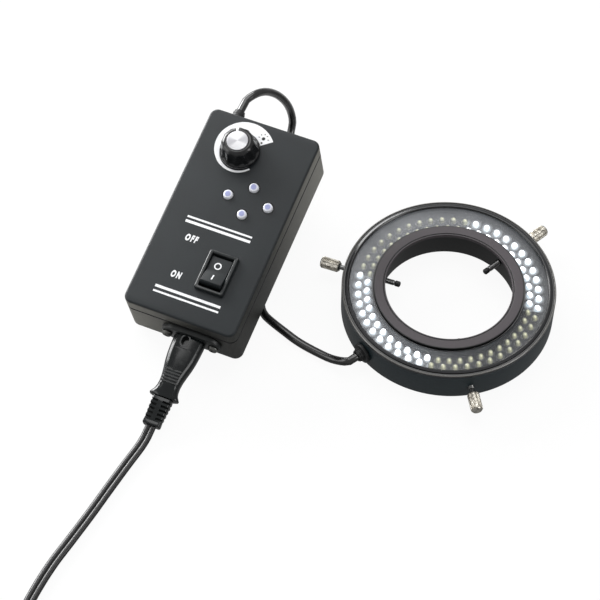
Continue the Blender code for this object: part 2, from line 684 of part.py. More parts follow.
def switch_housing():
    frame = empty("switch_frame", BOX, (SWITCH_X, SWITCH_Y, BOX_HEIGHT))
    housing = block("switch_housing", frame, (BEZEL_WIDTH, BEZEL_LENGTH, BEZEL_HEIGHT),
                    (0, 0, GAP + BEZEL_HEIGHT / 2), BLACK, BEZEL_CORNER, BEZEL_EDGE, "top", 3)
    body = block("switch_body", frame, (SWITCH_BODY_WIDTH, SWITCH_BODY_LENGTH, SWITCH_BODY_DEPTH + SINK),
                 (0, 0, GAP + SINK - (SWITCH_BODY_DEPTH + SINK) / 2))
    join(housing, body)
    for side in (-1, 1):
        length = TERMINAL_LENGTH + SINK
        join(housing, block(f"terminal_{side}", frame, (TERMINAL_WIDTH, TERMINAL_THICKNESS, length),
                            (0, side * TERMINAL_SPACING / 2, GAP + SINK - SWITCH_BODY_DEPTH - length / 2)))
    top = GAP + BEZEL_HEIGHT
    reach = math.hypot(ROCKER_REACH, ROCKER_RISE) + GAP
    cut(housing, block("switch_well", frame, (ROCKER_WIDTH + 2 * GAP, 2 * reach, SWITCH_WELL + OVERRUN),
                       (0, 0, top + OVERRUN - (SWITCH_WELL + OVERRUN) / 2)))
    pivot = top - PIVOT_BELOW_BEZEL
    half = ROCKER_WIDTH / 2 + TRUNNION_OUT + GAP
    cut(housing, rod("trunnion_way", frame, TRUNNION_RADIUS + GAP, (-half, 0, pivot), (half, 0, pivot),
                     steps=SMALL_STEPS))
    return housing


def switch_rocker():
    """Side view as an outline: shallow V on top, ends as arcs about the pivot, its upper end pressed in."""
    pivot = GAP + BEZEL_HEIGHT - PIVOT_BELOW_BEZEL
    frame = empty("rocker_axis", BOX, (SWITCH_X, SWITCH_Y, BOX_HEIGHT + pivot), (-ROCKER_SWING, 0, 0))
    radius = math.hypot(ROCKER_REACH, ROCKER_RISE)
    high = math.atan2(ROCKER_RISE, ROCKER_REACH)
    low = -math.asin(ROCKER_BASE / radius)
    right = arc(radius, low, high, ROCKER_STEPS)
    outline = right + [(0, ROCKER_DIP)] + [(-x, y) for x, y in reversed(right)]
    rocker = plate("switch_rocker", frame, outline, ROCKER_WIDTH, BLACK, turn=(math.pi / 2, 0, math.pi / 2))
    half = ROCKER_WIDTH / 2 + TRUNNION_OUT
    join(rocker, rod("trunnion", frame, TRUNNION_RADIUS, (-half, 0, 0), (half, 0, 0), steps=SMALL_STEPS))
    return rocker


# Zone buttons, key switches, circuit board, supply

def button_places():
    return [(BUTTONS_X - BUTTON_SIDE, BUTTONS_Y), (BUTTONS_X, BUTTONS_Y + BUTTON_UP),
            (BUTTONS_X + BUTTON_SIDE, BUTTONS_Y), (BUTTONS_X, BUTTONS_Y - BUTTON_UP)]


def standoff_places():
    x = BOARD_WIDTH / 2 - STANDOFF_INSET
    y = BOARD_LENGTH / 2 - STANDOFF_INSET
    return [(side * x, BOARD_Y + end * y) for end in (-1, 1) for side in (-1, 1)]


def zone_buttons():
    flange_top = FACE_UNDER - GAP
    flange_base = flange_top - BUTTON_FLANGE_THICKNESS
    top = BOX_HEIGHT + BUTTON_RISE
    for n, (x, y) in enumerate(button_places(), 1):
        frame = empty(f"button_{n}_axis", BOX, (x, y, 0))
        turned(f"zone_button_{n}", frame, [
            (0, top), (BUTTON_RADIUS - BUTTON_ROUND, top), (BUTTON_RADIUS, top - BUTTON_ROUND),
            (BUTTON_RADIUS, flange_top), (BUTTON_FLANGE, flange_top), (BUTTON_FLANGE, flange_base),
            (BUTTON_RADIUS, flange_base), (BUTTON_RADIUS, BUTTON_BASE), (0, BUTTON_BASE)], WHITE, SMALL_STEPS)


def circuit_board():
    board = block("circuit_board", BOX, (BOARD_WIDTH, BOARD_LENGTH, BOARD_THICKNESS),
                  (0, BOARD_Y, BOARD_TOP - BOARD_THICKNESS / 2), BOARD_GREEN)
    for n, (x, y) in enumerate(button_places()):
        join(board, block(f"key_{n}", BOX, (KEY_SIDE, KEY_SIDE, KEY_HEIGHT + SINK),
                          (x, y, BOARD_TOP + (KEY_HEIGHT - SINK) / 2)))
        join(board, rod(f"plunger_{n}", BOX, KEY_PLUNGER_RADIUS, (x, y, BOARD_TOP + KEY_HEIGHT - SINK),
                        (x, y, PLUNGER_TOP), steps=SMALL_STEPS // 2))
    return board


def supply():
    base = WALL + GAP
    core = block("transformer", BOX, (CORE_WIDTH, CORE_LENGTH, CORE_HEIGHT),
                 (TRANSFORMER_X, TRANSFORMER_Y, base + CORE_HEIGHT / 2), WINDING)
    join(core, block("winding", BOX, (WINDING_WIDTH, WINDING_LENGTH, WINDING_HEIGHT),
                     (TRANSFORMER_X, TRANSFORMER_Y, base + CORE_HEIGHT / 2), None, CORNER / 2))
    half = CAPACITOR_LENGTH / 2
    frame = empty("capacitor_frame", BOX, (CAPACITOR_X, CAPACITOR_Y, base + CAPACITOR_RADIUS),
                  (-math.pi / 2, 0, 0))
    neck = CAPACITOR_RADIUS - CAPACITOR_GROOVE
    groove = half - 2 * CAPACITOR_GROOVE_WIDTH
    turned("capacitor", frame, [
        (0, half), (neck, half), (CAPACITOR_RADIUS, half - CAPACITOR_GROOVE), (CAPACITOR_RADIUS, groove),
        (neck, groove - CAPACITOR_GROOVE_WIDTH / 2), (CAPACITOR_RADIUS, groove - CAPACITOR_GROOVE_WIDTH),
        (CAPACITOR_RADIUS, -half), (0, -half)], BLACK, SMALL_STEPS)


# Mains inlet and connector, in the inlet's frame: X across, Y up, Z out

def rounded_bar(name, frame, width, height, start, end, look=None):
    """A bar along Z whose ends across X are half round."""
    radius = height / 2
    reach = width / 2 - radius
    half = [(x + reach, y) for x, y in arc(radius, -math.pi / 2, math.pi / 2, END_STEPS)]
    outline = half + [(-x, -y) for x, y in half]
    return plate(name, frame, outline, end - start, look, (0, 0, (start + end) / 2))


def mains_inlet(frame):
    back = -INLET_DEPTH
    top = GAP + FLANGE_THICKNESS
    flange = rounded_bar("mains_inlet", frame, FLANGE_WIDTH, FLANGE_HEIGHT, GAP, top, BLACK)
    join(flange, block("inlet_body", frame, (INLET_WIDTH, INLET_HEIGHT, INLET_DEPTH + GAP + SINK),
                       (0, 0, (GAP + SINK + back) / 2)))
    floor = top - SOCKET_DEPTH
    cut(flange, rounded_bar("inlet_socket", frame, SOCKET_WIDTH, SOCKET_HEIGHT, floor, top + OVERRUN))
    for side in (-1, 1):
        x = side * PIN_SPACING / 2
        cut(flange, rod(f"pin_way_{side}", frame, PIN_RADIUS + GAP, (x, 0, back - OVERRUN), (x, 0, 0)))
        ear = side * EAR_SPACING / 2
        cut(flange, rod(f"ear_hole_{side}", frame, EAR_SCREW_RADIUS + GAP, (ear, 0, -OVERRUN),
                        (ear, 0, top + OVERRUN)))
    return flange


def inlet_metal(frame):
    floor = GAP + FLANGE_THICKNESS - SOCKET_DEPTH
    for n, side in enumerate((-1, 1), 1):
        x = side * PIN_SPACING / 2
        tail = -INLET_DEPTH - PIN_TAIL
        rod(f"inlet_pin_{n}", frame, PIN_RADIUS, (x, 0, tail), (x, 0, floor + PIN_SHOWN), NICKEL)
        ear = empty(f"inlet_screw_{n}_frame", frame, (side * EAR_SPACING / 2, 0, 0))
        seat = FLANGE_THICKNESS + 2 * GAP
        head = seat + EAR_HEAD_HEIGHT
        end = seat - EAR_SCREW_LENGTH
        turned(f"inlet_screw_{n}", ear, [
            (0, head), (EAR_HEAD_RADIUS * EAR_CROWN_SHARE, head),
            (EAR_HEAD_RADIUS, seat + EAR_HEAD_HEIGHT * EAR_RIM_SHARE),
            (EAR_HEAD_RADIUS, seat), (EAR_SCREW_RADIUS, seat), (EAR_SCREW_RADIUS, end), (0, end)],
            STEEL, SMALL_STEPS)


def mains_connector(frame):
    sizes = {"half": CONNECTOR_HALF, "waist": CONNECTOR_WAIST, "wing": CONNECTOR_WING}
    start = FLANGE_THICKNESS + 2 * GAP
    side = [(sizes[key] * share, start + CONNECTOR_LENGTH * along) for along, key, share in CONNECTOR_SHARES]
    outline = side + [(-x, y) for x, y in reversed(side)]
    body = plate("mains_connector", frame, outline, CONNECTOR_THICKNESS, BLACK, turn=(math.pi / 2, 0, 0))
    weld_bevel(body, CONNECTOR_EDGE)
    nose = start - NOSE_LENGTH
    join(body, rounded_bar("connector_nose", frame, NOSE_WIDTH, NOSE_HEIGHT, nose, start + SINK))
    for s in (-1, 1):
        x = s * PIN_SPACING / 2
        cut(body, rod(f"pin_hole_{s}", frame, PIN_RADIUS + GAP, (x, 0, nose - OVERRUN),
                      (x, 0, nose + PIN_HOLE_DEPTH)))
    top = CONNECTOR_THICKNESS / 2
    cut(body, block("thumb_place", frame, (THUMB_WIDTH, 2 * THUMB_DEPTH, THUMB_LENGTH),
                    (0, top, start + THUMB_LENGTH)))
    for n in range(GRIPS):
        z = start + CONNECTOR_LENGTH / 2 + (n + 1) * GRIP_PITCH
        join(body, block(f"grip_{n}", frame, (GRIP_LENGTH, GRIP_RISE + SINK, GRIP_WIDTH),
                         (0, top + (GRIP_RISE - SINK) / 2, z)))
    return body


def weld_bevel(thing, width):
    bevel = thing.modifiers.new("edges", "BEVEL")
    bevel.width = width
    bevel.segments = 2
    bevel.limit_method = "ANGLE"
    bevel.angle_limit = math.radians(60)
    return thing


def connector_relief(frame):
    """Tapered slab with a comb of slots on both sides of a spine."""
    start = FLANGE_THICKNESS + 3 * GAP + CONNECTOR_LENGTH
    end = start + RELIEF_LENGTH
    slab = tapered_bar("connector_relief", frame, (RELIEF_WIDTH, RELIEF_THICKNESS, start),
                       (RELIEF_END_WIDTH, RELIEF_END_THICKNESS, end), RUBBER)
    pitch = RELIEF_LENGTH / (RELIEF_SLOTS + 1)
    for n in range(RELIEF_SLOTS):
        for side in (-1, 1):
            width = RELIEF_WIDTH
            x = side * (RELIEF_SPINE / 2 + width / 2)
            cut(slab, block(f"slot_{n}_{side}", frame, (width, 2 * RELIEF_THICKNESS, RELIEF_SLOT),
                            (x, 0, start + pitch * (n + 1))))
    return slab


def tapered_bar(name, frame, near, far, look=None):
    """A bar between two rectangles, each (width, height, place along Z)."""
    thing = block(name, frame, (near[0], near[1], far[2] - near[2]), (0, 0, (near[2] + far[2]) / 2), look)
    middle = (near[2] + far[2]) / 2
    for vertex in thing.data.vertices:
        if vertex.co.z > middle:
            vertex.co.x *= far[0] / near[0]
            vertex.co.y *= far[1] / near[1]
    return thing


def relief_end():
    """Where the mains lead leaves its strain relief, in the box's own frame."""
    return (INLET_X, -(FLANGE_THICKNESS + 4 * GAP + CONNECTOR_LENGTH + RELIEF_LENGTH), MID_HEIGHT)


# Cords

def smooth_route(points, spacing):
    """Evenly spaced points on a centripetal Catmull-Rom curve; the first and last stretches stay straight."""
    given = [Vector(p) for p in points]
    fine = []
    for a, b, c, d in zip(given, given[1:], given[2:], given[3:], strict=False):
        t1 = math.sqrt((b - a).length)
        t2 = t1 + math.sqrt((c - b).length)
        t3 = t2 + math.sqrt((d - c).length)
        for i in range(CURVE_STEPS):
            t = t1 + (t2 - t1) * i / CURVE_STEPS
            ab = a.lerp(b, t / t1)
            bc = b.lerp(c, (t - t1) / (t2 - t1))
            cd = c.lerp(d, (t - t2) / (t3 - t2))
            abc = ab.lerp(bc, t / t2)
            bcd = bc.lerp(cd, (t - t1) / (t3 - t1))
            fine.append(abc.lerp(bcd, (t - t1) / (t2 - t1)))
    fine.append(given[-2])
    return [given[0], *respaced(fine, spacing), given[-1]]


def respaced(points, spacing):
    line = np.array([tuple(p) for p in points])
    along = np.concatenate([[0], np.cumsum(np.linalg.norm(np.diff(line, axis=0), axis=1))])
    count = max(3, round(along[-1] / spacing) + 1)
    at = np.linspace(0, along[-1], count)
    return [Vector([np.interp(t, along, line[:, k]) for k in range(3)]) for t in at]


def coil_route(centre, radius, pitch, layer, layers, turns, start, floor):
    """Turns that spiral in and out at a steady rate and climb where the spiral reverses."""
    steps = COIL_STEPS
    count = round(turns * steps)
    per_layer = turns / layers
    outer = radius + per_layer * pitch / 2
    points = []
    for i in range(count + 1):
        turn = i / steps
        band = min(int(turn / per_layer), layers - 1)
        share = turn - band * per_layer
        inward = share if band % 2 == 0 else per_layer - share
        out = outer - inward * pitch
        height = 0
        for reversal in range(1, layers):
            into = (turn - reversal * per_layer) / CLIMB_SHARE + CLIMB_SHARE
            height += layer * min(max(into, 0), 1)
        angle = start + math.tau * turn
        points.append(Vector((centre[0] + out * math.cos(angle), centre[1] + out * math.sin(angle),
                              floor + height)))
    return points


def least_gap(name, points, width, thickness):
    """Prints the least distance between one turn's surface and another's."""
    line = np.array([tuple(p) for p in points])
    least = math.inf
    half = COIL_STEPS // 2
    for i in range(len(line) - half):
        away = line[i + half:] - line[i]
        beside = np.maximum(np.hypot(away[:, 0], away[:, 1]) - (width - thickness), 0)
        least = min(least, float(np.hypot(beside, away[:, 2]).min()) - thickness)
    print(f"{name}: least gap to itself {least / MM:.2f} mm")


def length_of(points):
    return sum((b - a).length for a, b in zip(points, points[1:], strict=False))


def tube(name, points, look, radius=None, profile=None, resolution=2):
    curve = bpy.data.curves.new(name, "CURVE")
    curve.dimensions = "3D"
    curve.use_fill_caps = True
    curve.twist_mode = "Z_UP"
    if profile:
        curve.bevel_mode = "OBJECT"
        curve.bevel_object = profile
    else:
        curve.bevel_depth = radius
        curve.bevel_resolution = resolution
    line = curve.splines.new("POLY")
    line.points.add(len(points) - 1)
    for place, point in zip(line.points, points, strict=True):
        place.co = (*point, 1)
    thing = bpy.data.objects.new(name, curve)
    PARTS.objects.link(thing)
    return dress(thing, look)


def twin_profile():
    """Section of the flat lead: two round cores with a waist between them."""
    curve = bpy.data.curves.new("twin_profile", "CURVE")
    curve.dimensions = "2D"
    line = curve.splines.new("POLY")
    half = CORD_WIDTH / 2
    thick = CORD_THICKNESS / 2
    core = half - thick
    side = [(core, -thick), (half, 0), (core, thick)]
    outline = side + [(-x, y) for x, y in reversed(side)]
    outline.reverse()
    line.points.add(len(outline) - 1)
    for place, (x, y) in zip(line.points, outline, strict=True):
        place.co = (x, y, 0, 1)
    line.use_cyclic_u = True
    thing = bpy.data.objects.new("twin_profile", curve)
    CUTTERS.objects.link(thing)
    thing.hide_render = True
    thing.display_type = "WIRE"
    return thing


def direction(points, i, j):
    return (points[j] - points[i]).normalized()


def mains_cord():
    """The lead from its strain relief to a coil outside the picture, and on to the plug."""
    profile = twin_profile()
    floor = TIE_THICKNESS + GAP + CORD_THICKNESS / 2
    coil = coil_route((MAINS_COIL_X, MAINS_COIL_Y), MAINS_COIL_RADIUS, MAINS_PITCH, MAINS_LAYER,
                      MAINS_LAYERS, MAINS_TURNS, MAINS_START, floor)
    least_gap("mains cord coil", coil, CORD_WIDTH, CORD_THICKNESS)
    out = box_turn() @ Vector((0, -1, 0))
    leave = box_point(relief_end())
    first = direction(coil, 1, 0)
    arrive = coil[0] + first * GAP
    route = [leave, leave + out * CORD_WIDTH]
    route += [Vector(p) * MM for p in MAINS_ROUTE]
    route += [arrive + first * CORD_WIDTH, arrive]
    cord = smooth_route(route, CORD_STEP)
    tube("mains_cord", cord, BLACK, profile=profile)
    tube("mains_cord_coil", coil, BLACK, profile=profile)
    last = direction(coil, -2, -1)
    away = coil[-1] + last * GAP
    flat = Vector((last.x, last.y, 0)).normalized()
    plug_at = coil[-1] + flat * (GAP + PLUG_AWAY)
    plug_at.z = PLUG_THICKNESS / 2
    tail = smooth_route([away, away + last * CORD_WIDTH, plug_at - flat * CORD_WIDTH, plug_at], CORD_STEP / 3)
    tube("mains_cord_end", tail, BLACK, profile=profile)
    print(f"mains cord: {length_of(cord) + length_of(coil) + length_of(tail):.3f} m")
    mains_plug(plug_at + flat * GAP, flat)
    coil_tie("mains_cord_tie", (MAINS_COIL_X, MAINS_COIL_Y), MAINS_COIL_RADIUS,
             MAINS_TURNS / MAINS_LAYERS * MAINS_PITCH + CORD_WIDTH,
             (MAINS_LAYERS - 1) * MAINS_LAYER + CORD_THICKNESS, MAINS_TIE_ANGLE)


def mains_plug(place, heading):
    """Two-pin plug lying beside the coil, Z along the plug towards its blades."""
    turn = math.atan2(heading.y, heading.x)
    frame = empty("plug_frame", None, place, (math.pi / 2, 0, turn + math.pi / 2))
    body = block("mains_plug", frame, (PLUG_WIDTH, PLUG_THICKNESS, PLUG_LENGTH),
                 (0, 0, PLUG_NECK + PLUG_LENGTH / 2), BLACK, PLUG_EDGE, PLUG_EDGE, "both", 2)
    join(body, tapered_bar("plug_neck", frame, (PLUG_NECK_WIDTH, PLUG_NECK_THICKNESS, 0),
                           (PLUG_WIDTH - 2 * PLUG_EDGE, PLUG_THICKNESS - 2 * PLUG_EDGE, PLUG_NECK + SINK)))
    top = PLUG_NECK + PLUG_LENGTH
    for n, side in enumerate((-1, 1), 1):
        x = side * BLADE_SPACING / 2
        cut(body, block(f"blade_slot_{n}", frame, (BLADE_THICKNESS + 2 * GAP, BLADE_WIDTH + 2 * GAP,
                                                   2 * BLADE_SUNK), (x, 0, top)))
        foot = top - BLADE_SUNK + GAP
        length = BLADE_LENGTH + BLADE_SUNK - GAP
        half = BLADE_WIDTH / 2
        shoulder = length - BLADE_POINT
        outline = [(-half, 0), (half, 0), (half, shoulder), (half - BLADE_POINT, length),
                   (BLADE_POINT - half, length), (-half, shoulder)]
        plate(f"plug_blade_{n}", frame, outline, BLADE_THICKNESS, NICKEL, (x, 0, foot),
              (math.pi / 2, 0, math.pi / 2))


def coil_tie(name, centre, radius, bundle, height, angle):
    """A strap once round the bundle of turns."""
    frame = empty(f"{name}_frame", None, (*centre, 0), (0, 0, angle))
    inside = (bundle + 2 * TIE_CLEAR, TIE_WIDTH + 2 * OVERRUN, height + 2 * GAP)
    outside = (inside[0] + 2 * TIE_THICKNESS, TIE_WIDTH, inside[2] + 2 * TIE_THICKNESS)
    strap = block(name, frame, outside, (radius, 0, outside[2] / 2), RUBBER)
    cut(strap, block(f"{name}_room", frame, inside, (radius, 0, outside[2] / 2)))
    return strap


def ribbed_sleeve(name, frame, length, lip_base, inner_end):
    """A cable gland turned about Z: lip on the wall, ribs, then a plain end for the cable."""
    lip_top = lip_base + GLAND_LIP_THICKNESS
    pitch = (length - GLAND_LIP_THICKNESS) / (GLAND_RIBS + 1)
    ribs = []
    for n in range(GLAND_RIBS + 1):
        share = n / (GLAND_RIBS + 1)
        radius = GLAND_RADIUS + (GLAND_END - GLAND_RADIUS) * share
        base = lip_top + n * pitch
        wide = pitch * GLAND_RIB_SHARE
        ribs += [(radius, base), (radius, base + wide)]
        if n < GLAND_RIBS:
            ribs += [(radius - GLAND_RIB / 2, base + wide), (radius - GLAND_RIB / 2, base + pitch)]
    ribs.append((GLAND_END, lip_base + length))
    outline = [(0, lip_base + length)] + list(reversed(ribs))
    outline += [(GLAND_LIP, lip_top), (GLAND_LIP, lip_base), (GLAND_RADIUS, lip_base)]
    outline += [(GLAND_RADIUS, inner_end), (0, inner_end)]
    return turned(name, frame, outline, RUBBER, SMALL_STEPS)


def lamp_cable():
    """From the gland over the end of the box, through the coil under it, to the ring."""
    gland = far_frame()
    ribbed_sleeve("cable_gland", gland, GLAND_LENGTH, GAP, -WALL - GLAND_RIB)
    floor = TIE_THICKNESS + GAP + CABLE_RADIUS
    away = Matrix.Rotation(BOX_YAW, 3, "Z") @ Vector((COIL_ASIDE, COIL_FROM_EDGE, 0))
    centre = (BOX_X + away.x, BOX_Y + away.y)
    coil = coil_route(centre, LAMP_COIL_RADIUS, LAMP_PITCH, LAMP_LAYER, LAMP_LAYERS, LAMP_TURNS,
                      LAMP_START, floor)
    least_gap("lamp cable coil", coil, 2 * CABLE_RADIUS, 2 * CABLE_RADIUS)
    tube("lamp_cable_coil", coil, BLACK, radius=CABLE_RADIUS, resolution=1)
    leave = box_point((GLAND_X, BOX_LENGTH + GLAND_LENGTH + 2 * GAP, MID_HEIGHT))
    last = direction(coil, -2, -1)
    meet = coil[-1] + last * GAP
    upper = [leave] + [box_point(Vector(p) * MM) for p in GLAND_FROM_BOX]
    upper += [meet + last * 2 * CABLE_RADIUS, meet]
    first = smooth_route(upper, CABLE_STEP)
    tube("lamp_cable_upper", first, BLACK, radius=CABLE_RADIUS)
    start = direction(coil, 1, 0)
    begin = coil[0] + start * GAP
    outward = Vector((math.cos(BUSH_ANGLE), math.sin(BUSH_ANGLE), 0))
    bush = Vector((RING_X, RING_Y, BUSH_HEIGHT)) + outward * (RING_RADIUS + BUSH_LENGTH + 2 * GAP)
    lower = [begin, begin + start * 2 * CABLE_RADIUS]
    lower += [Vector(p) * MM for p in LAMP_ROUTE]
    lower += [bush + outward * 2 * CABLE_RADIUS, bush]
    second = smooth_route(lower, CABLE_STEP)
    tube("lamp_cable_lower", second, BLACK, radius=CABLE_RADIUS)
    print(f"lamp cable: {length_of(first) + length_of(coil) + length_of(second):.3f} m")
    bundle = LAMP_TURNS / LAMP_LAYERS * LAMP_PITCH + 2 * CABLE_RADIUS
    coil_tie("lamp_cable_tie", centre, LAMP_COIL_RADIUS, bundle,
             (LAMP_LAYERS - 1) * LAMP_LAYER + 2 * CABLE_RADIUS, LAMP_TIE_ANGLE)


# Ring light

def radial_frame(name, angle, height, radius=0.0):
    """At a radius on the ring, Z pointing out along it."""
    place = (radius * math.cos(angle), radius * math.sin(angle), height)
    return empty(name, RING, place, (0, math.pi / 2, angle))


def ring_housing():
    top = HOUSING_TOP
    inner = RING_RADIUS - RING_WALL
    inside = BORE_RADIUS + RING_WALL
    housing = turned("ring_housing", RING, [
        (RING_RADIUS, top), (RING_RADIUS, BASE_CHAMFER), (RING_RADIUS - BASE_CHAMFER, 0),
        (BORE_RADIUS + BASE_CHAMFER, 0), (BORE_RADIUS, BASE_CHAMFER), (BORE_RADIUS, top),
        (inside, top), (inside, RING_WALL), (inner, RING_WALL), (inner, top)],
        ANODISED, RING_STEPS, closed=True)
    for n, angle in enumerate(SCREW_ANGLES):
        frame = radial_frame(f"screw_way_{n}_frame", angle, SCREW_HEIGHT)
        join(housing, rod(f"thread_boss_{n}", frame, BOSS_RADIUS, (0, 0, inner - BOSS_LENGTH),
                          (0, 0, inner + SINK)))
        cut(housing, rod(f"thread_way_{n}", frame, SCREW_RADIUS + GAP, (0, 0, BORE_RADIUS - OVERRUN),
                         (0, 0, RING_RADIUS + OVERRUN)))
    frame = radial_frame("bush_way_frame", BUSH_ANGLE, BUSH_HEIGHT)
    cut(housing, rod("bush_way", frame, GLAND_RADIUS + GAP, (0, 0, inner - OVERRUN),
                     (0, 0, RING_RADIUS + OVERRUN)))
    bush = radial_frame("bush_frame", BUSH_ANGLE, BUSH_HEIGHT, RING_RADIUS)
    ribbed_sleeve("ring_cable_bush", bush, BUSH_LENGTH, GAP, -RING_WALL - GLAND_RIB)
    return housing


def ring_rim():
    """Bezel over the window's outer edge, window, and the collar with the lip of the bore."""
    inside = RING_RADIUS - BEZEL_BAND
    rebate = RING_RADIUS - WALL
    lip = WINDOW_TOP + GAP
    turned("ring_bezel", RING, [
        (RING_RADIUS - BEZEL_CHAMFER, RING_HEIGHT), (RING_RADIUS, RING_HEIGHT - BEZEL_CHAMFER),
        (RING_RADIUS, WINDOW_BASE), (rebate, WINDOW_BASE), (rebate, lip), (inside, lip),
        (inside, RING_HEIGHT)], ANODISED, RING_STEPS, closed=True)
    turned("ring_window", RING, [
        (rebate - GAP, WINDOW_TOP), (rebate - GAP, WINDOW_BASE), (BORE_RADIUS + GAP, WINDOW_BASE),
        (BORE_RADIUS + GAP, WINDOW_TOP)], LED_GLASS, RING_STEPS, closed=True)
    outer = BORE_RADIUS - GAP
    under = RING_HEIGHT - COLLAR_THICKNESS
    turned("inner_collar", RING, [
        (COLLAR_RADIUS, RING_HEIGHT), (COLLAR_RADIUS, under), (outer, under),
        (outer, under - SLEEVE_DEPTH), (outer - SLEEVE_WALL, under - SLEEVE_DEPTH),
        (outer - SLEEVE_WALL, RING_HEIGHT - LIP_DEPTH), (LIP_RADIUS, RING_HEIGHT - LIP_DEPTH),
        (LIP_RADIUS, RING_HEIGHT)], COLLAR_GREY, RING_STEPS, closed=True)


def led_lamp():
    """One lamp's mesh, its base on the board's face, turned about Z."""
    dome = [(LED_RADIUS * r, LED_HEIGHT * h) for r, h in LED_DOME_SHARES]
    lamp = turned("led_profile", None, [*dome, (LED_RADIUS, -SINK), (0, -SINK)], None, LED_STEPS)
    bpy.context.view_layer.update()
    mesh = bpy.data.meshes.new_from_object(lamp.evaluated_get(bpy.context.evaluated_depsgraph_get()))
    bpy.data.objects.remove(lamp)
    return mesh


def led_boards():
    """Four boards on a cone that leans in towards the bore, each with its two rows of lamps."""
    lamp = led_lamp()
    slope = math.tan(LED_BOARD_SLOPE)
    rise = (BOARD_OUTER - BOARD_INNER) * slope
    base = LED_BOARD_INNER_HEIGHT
    top = base + LED_BOARD_THICKNESS
    section = [(BOARD_INNER, base), (BOARD_OUTER, base + rise), (BOARD_OUTER, top + rise), (BOARD_INNER, top)]
    split = ZONE_SPLIT / BOARD_INNER
    zone = math.tau / ZONES
    for n in range(ZONES):
        start = ZONE_START + n * zone
        board = sector(f"led_board_{n + 1}", section, start + split, zone - 2 * split)
        lamps = bmesh.new()
        for across_share, along_share in LED_ROW_SHARES:
            radius = BOARD_INNER + (BOARD_OUTER - BOARD_INNER) * across_share
            height = top + (radius - BOARD_INNER) * slope
            for i in range(LEDS_PER_ROW):
                angle = start + zone * (i + along_share) / LEDS_PER_ROW
                place = Matrix.Rotation(angle, 4, "Z") @ Matrix.Translation((radius, 0, height))
                place @= Matrix.Rotation(-LED_BOARD_SLOPE, 4, "Y")
                before = len(lamps.verts)
                lamps.from_mesh(lamp)
                lamps.verts.ensure_lookup_table()
                bmesh.ops.transform(lamps, matrix=place, verts=lamps.verts[before:])
        mesh = bpy.data.meshes.new(f"lamps_{n}")
        lamps.to_mesh(mesh)
        lamps.free()
        join(board, add_object(f"lamps_{n}", mesh, RING))


def sector(name, section, start, angle):
    """Part of a ring: a section of (radius, height) spun about the ring's axis."""
    mesh = bpy.data.meshes.new(name)
    shape = bmesh.new()
    verts = [shape.verts.new((r * math.cos(start), r * math.sin(start), z)) for r, z in section]
    face = shape.faces.new(verts)
    bmesh.ops.spin(shape, geom=[face, *face.edges, *verts], cent=(0, 0, 0), axis=(0, 0, 1), dvec=(0, 0, 0),
                   angle=angle, steps=LED_BOARD_STEPS, use_duplicate=False)
    bmesh.ops.recalc_face_normals(shape, faces=shape.faces)
    shape.to_mesh(mesh)
    shape.free()
    return add_object(name, mesh, RING, LED_GLASS)


def thumb_screws():
    """Knurled screws at three places, each with a soft tip that moves in and out but doesn't turn."""
    head = RING_RADIUS + SCREW_STANDS_OFF
    outline = []
    for n in range(2 * KNURLS):
        radius = SCREW_HEAD_RADIUS * (1 if n % 2 else KNURL_SHARE)
        turn = math.tau * n / (2 * KNURLS)
        outline.append((radius * math.cos(turn), radius * math.sin(turn)))
    for n, angle in enumerate(SCREW_ANGLES, 1):
        frame = radial_frame(f"thumb_screw_{n}_axis", angle, SCREW_HEIGHT)
        screw = plate(f"thumb_screw_{n}", frame, outline, SCREW_HEAD_LENGTH, NICKEL,
                      (0, 0, head + SCREW_HEAD_LENGTH / 2))
        join(screw, rod(f"shank_{n}", frame, SCREW_RADIUS, (0, 0, SCREW_END), (0, 0, head + SINK)))
        far = SCREW_END - GAP
        rod(f"screw_tip_{n}", frame, TIP_RADIUS, (0, 0, far - TIP_LENGTH), (0, 0, far), NYLON)


def build():
    lower_shell()
    face_cover()
    case_screws()
    rubber_feet()
    brightness_knob()
    potentiometer()
    switch_housing()
    switch_rocker()
    zone_buttons()
    circuit_board()
    supply()
    inlet = near_frame()
    mains_inlet(inlet)
    inlet_metal(inlet)
    mains_connector(inlet)
    connector_relief(inlet)
    mains_cord()
    lamp_cable()
    ring_housing()
    ring_rim()
    led_boards()
    thumb_screws()


build()
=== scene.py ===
# %% [markdown]
# # A ring light for a stereo microscope
# A small black control box dims four zones of white LEDs in a ring that clamps round the objective.
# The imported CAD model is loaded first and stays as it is. Everything that is made here either
# replaces one of its nodes with a fuller piece in the same place, or gives a node a better finish.

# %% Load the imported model
import math

import bmesh
import bpy
import numpy as np
from mathutils import Euler, Matrix, Vector


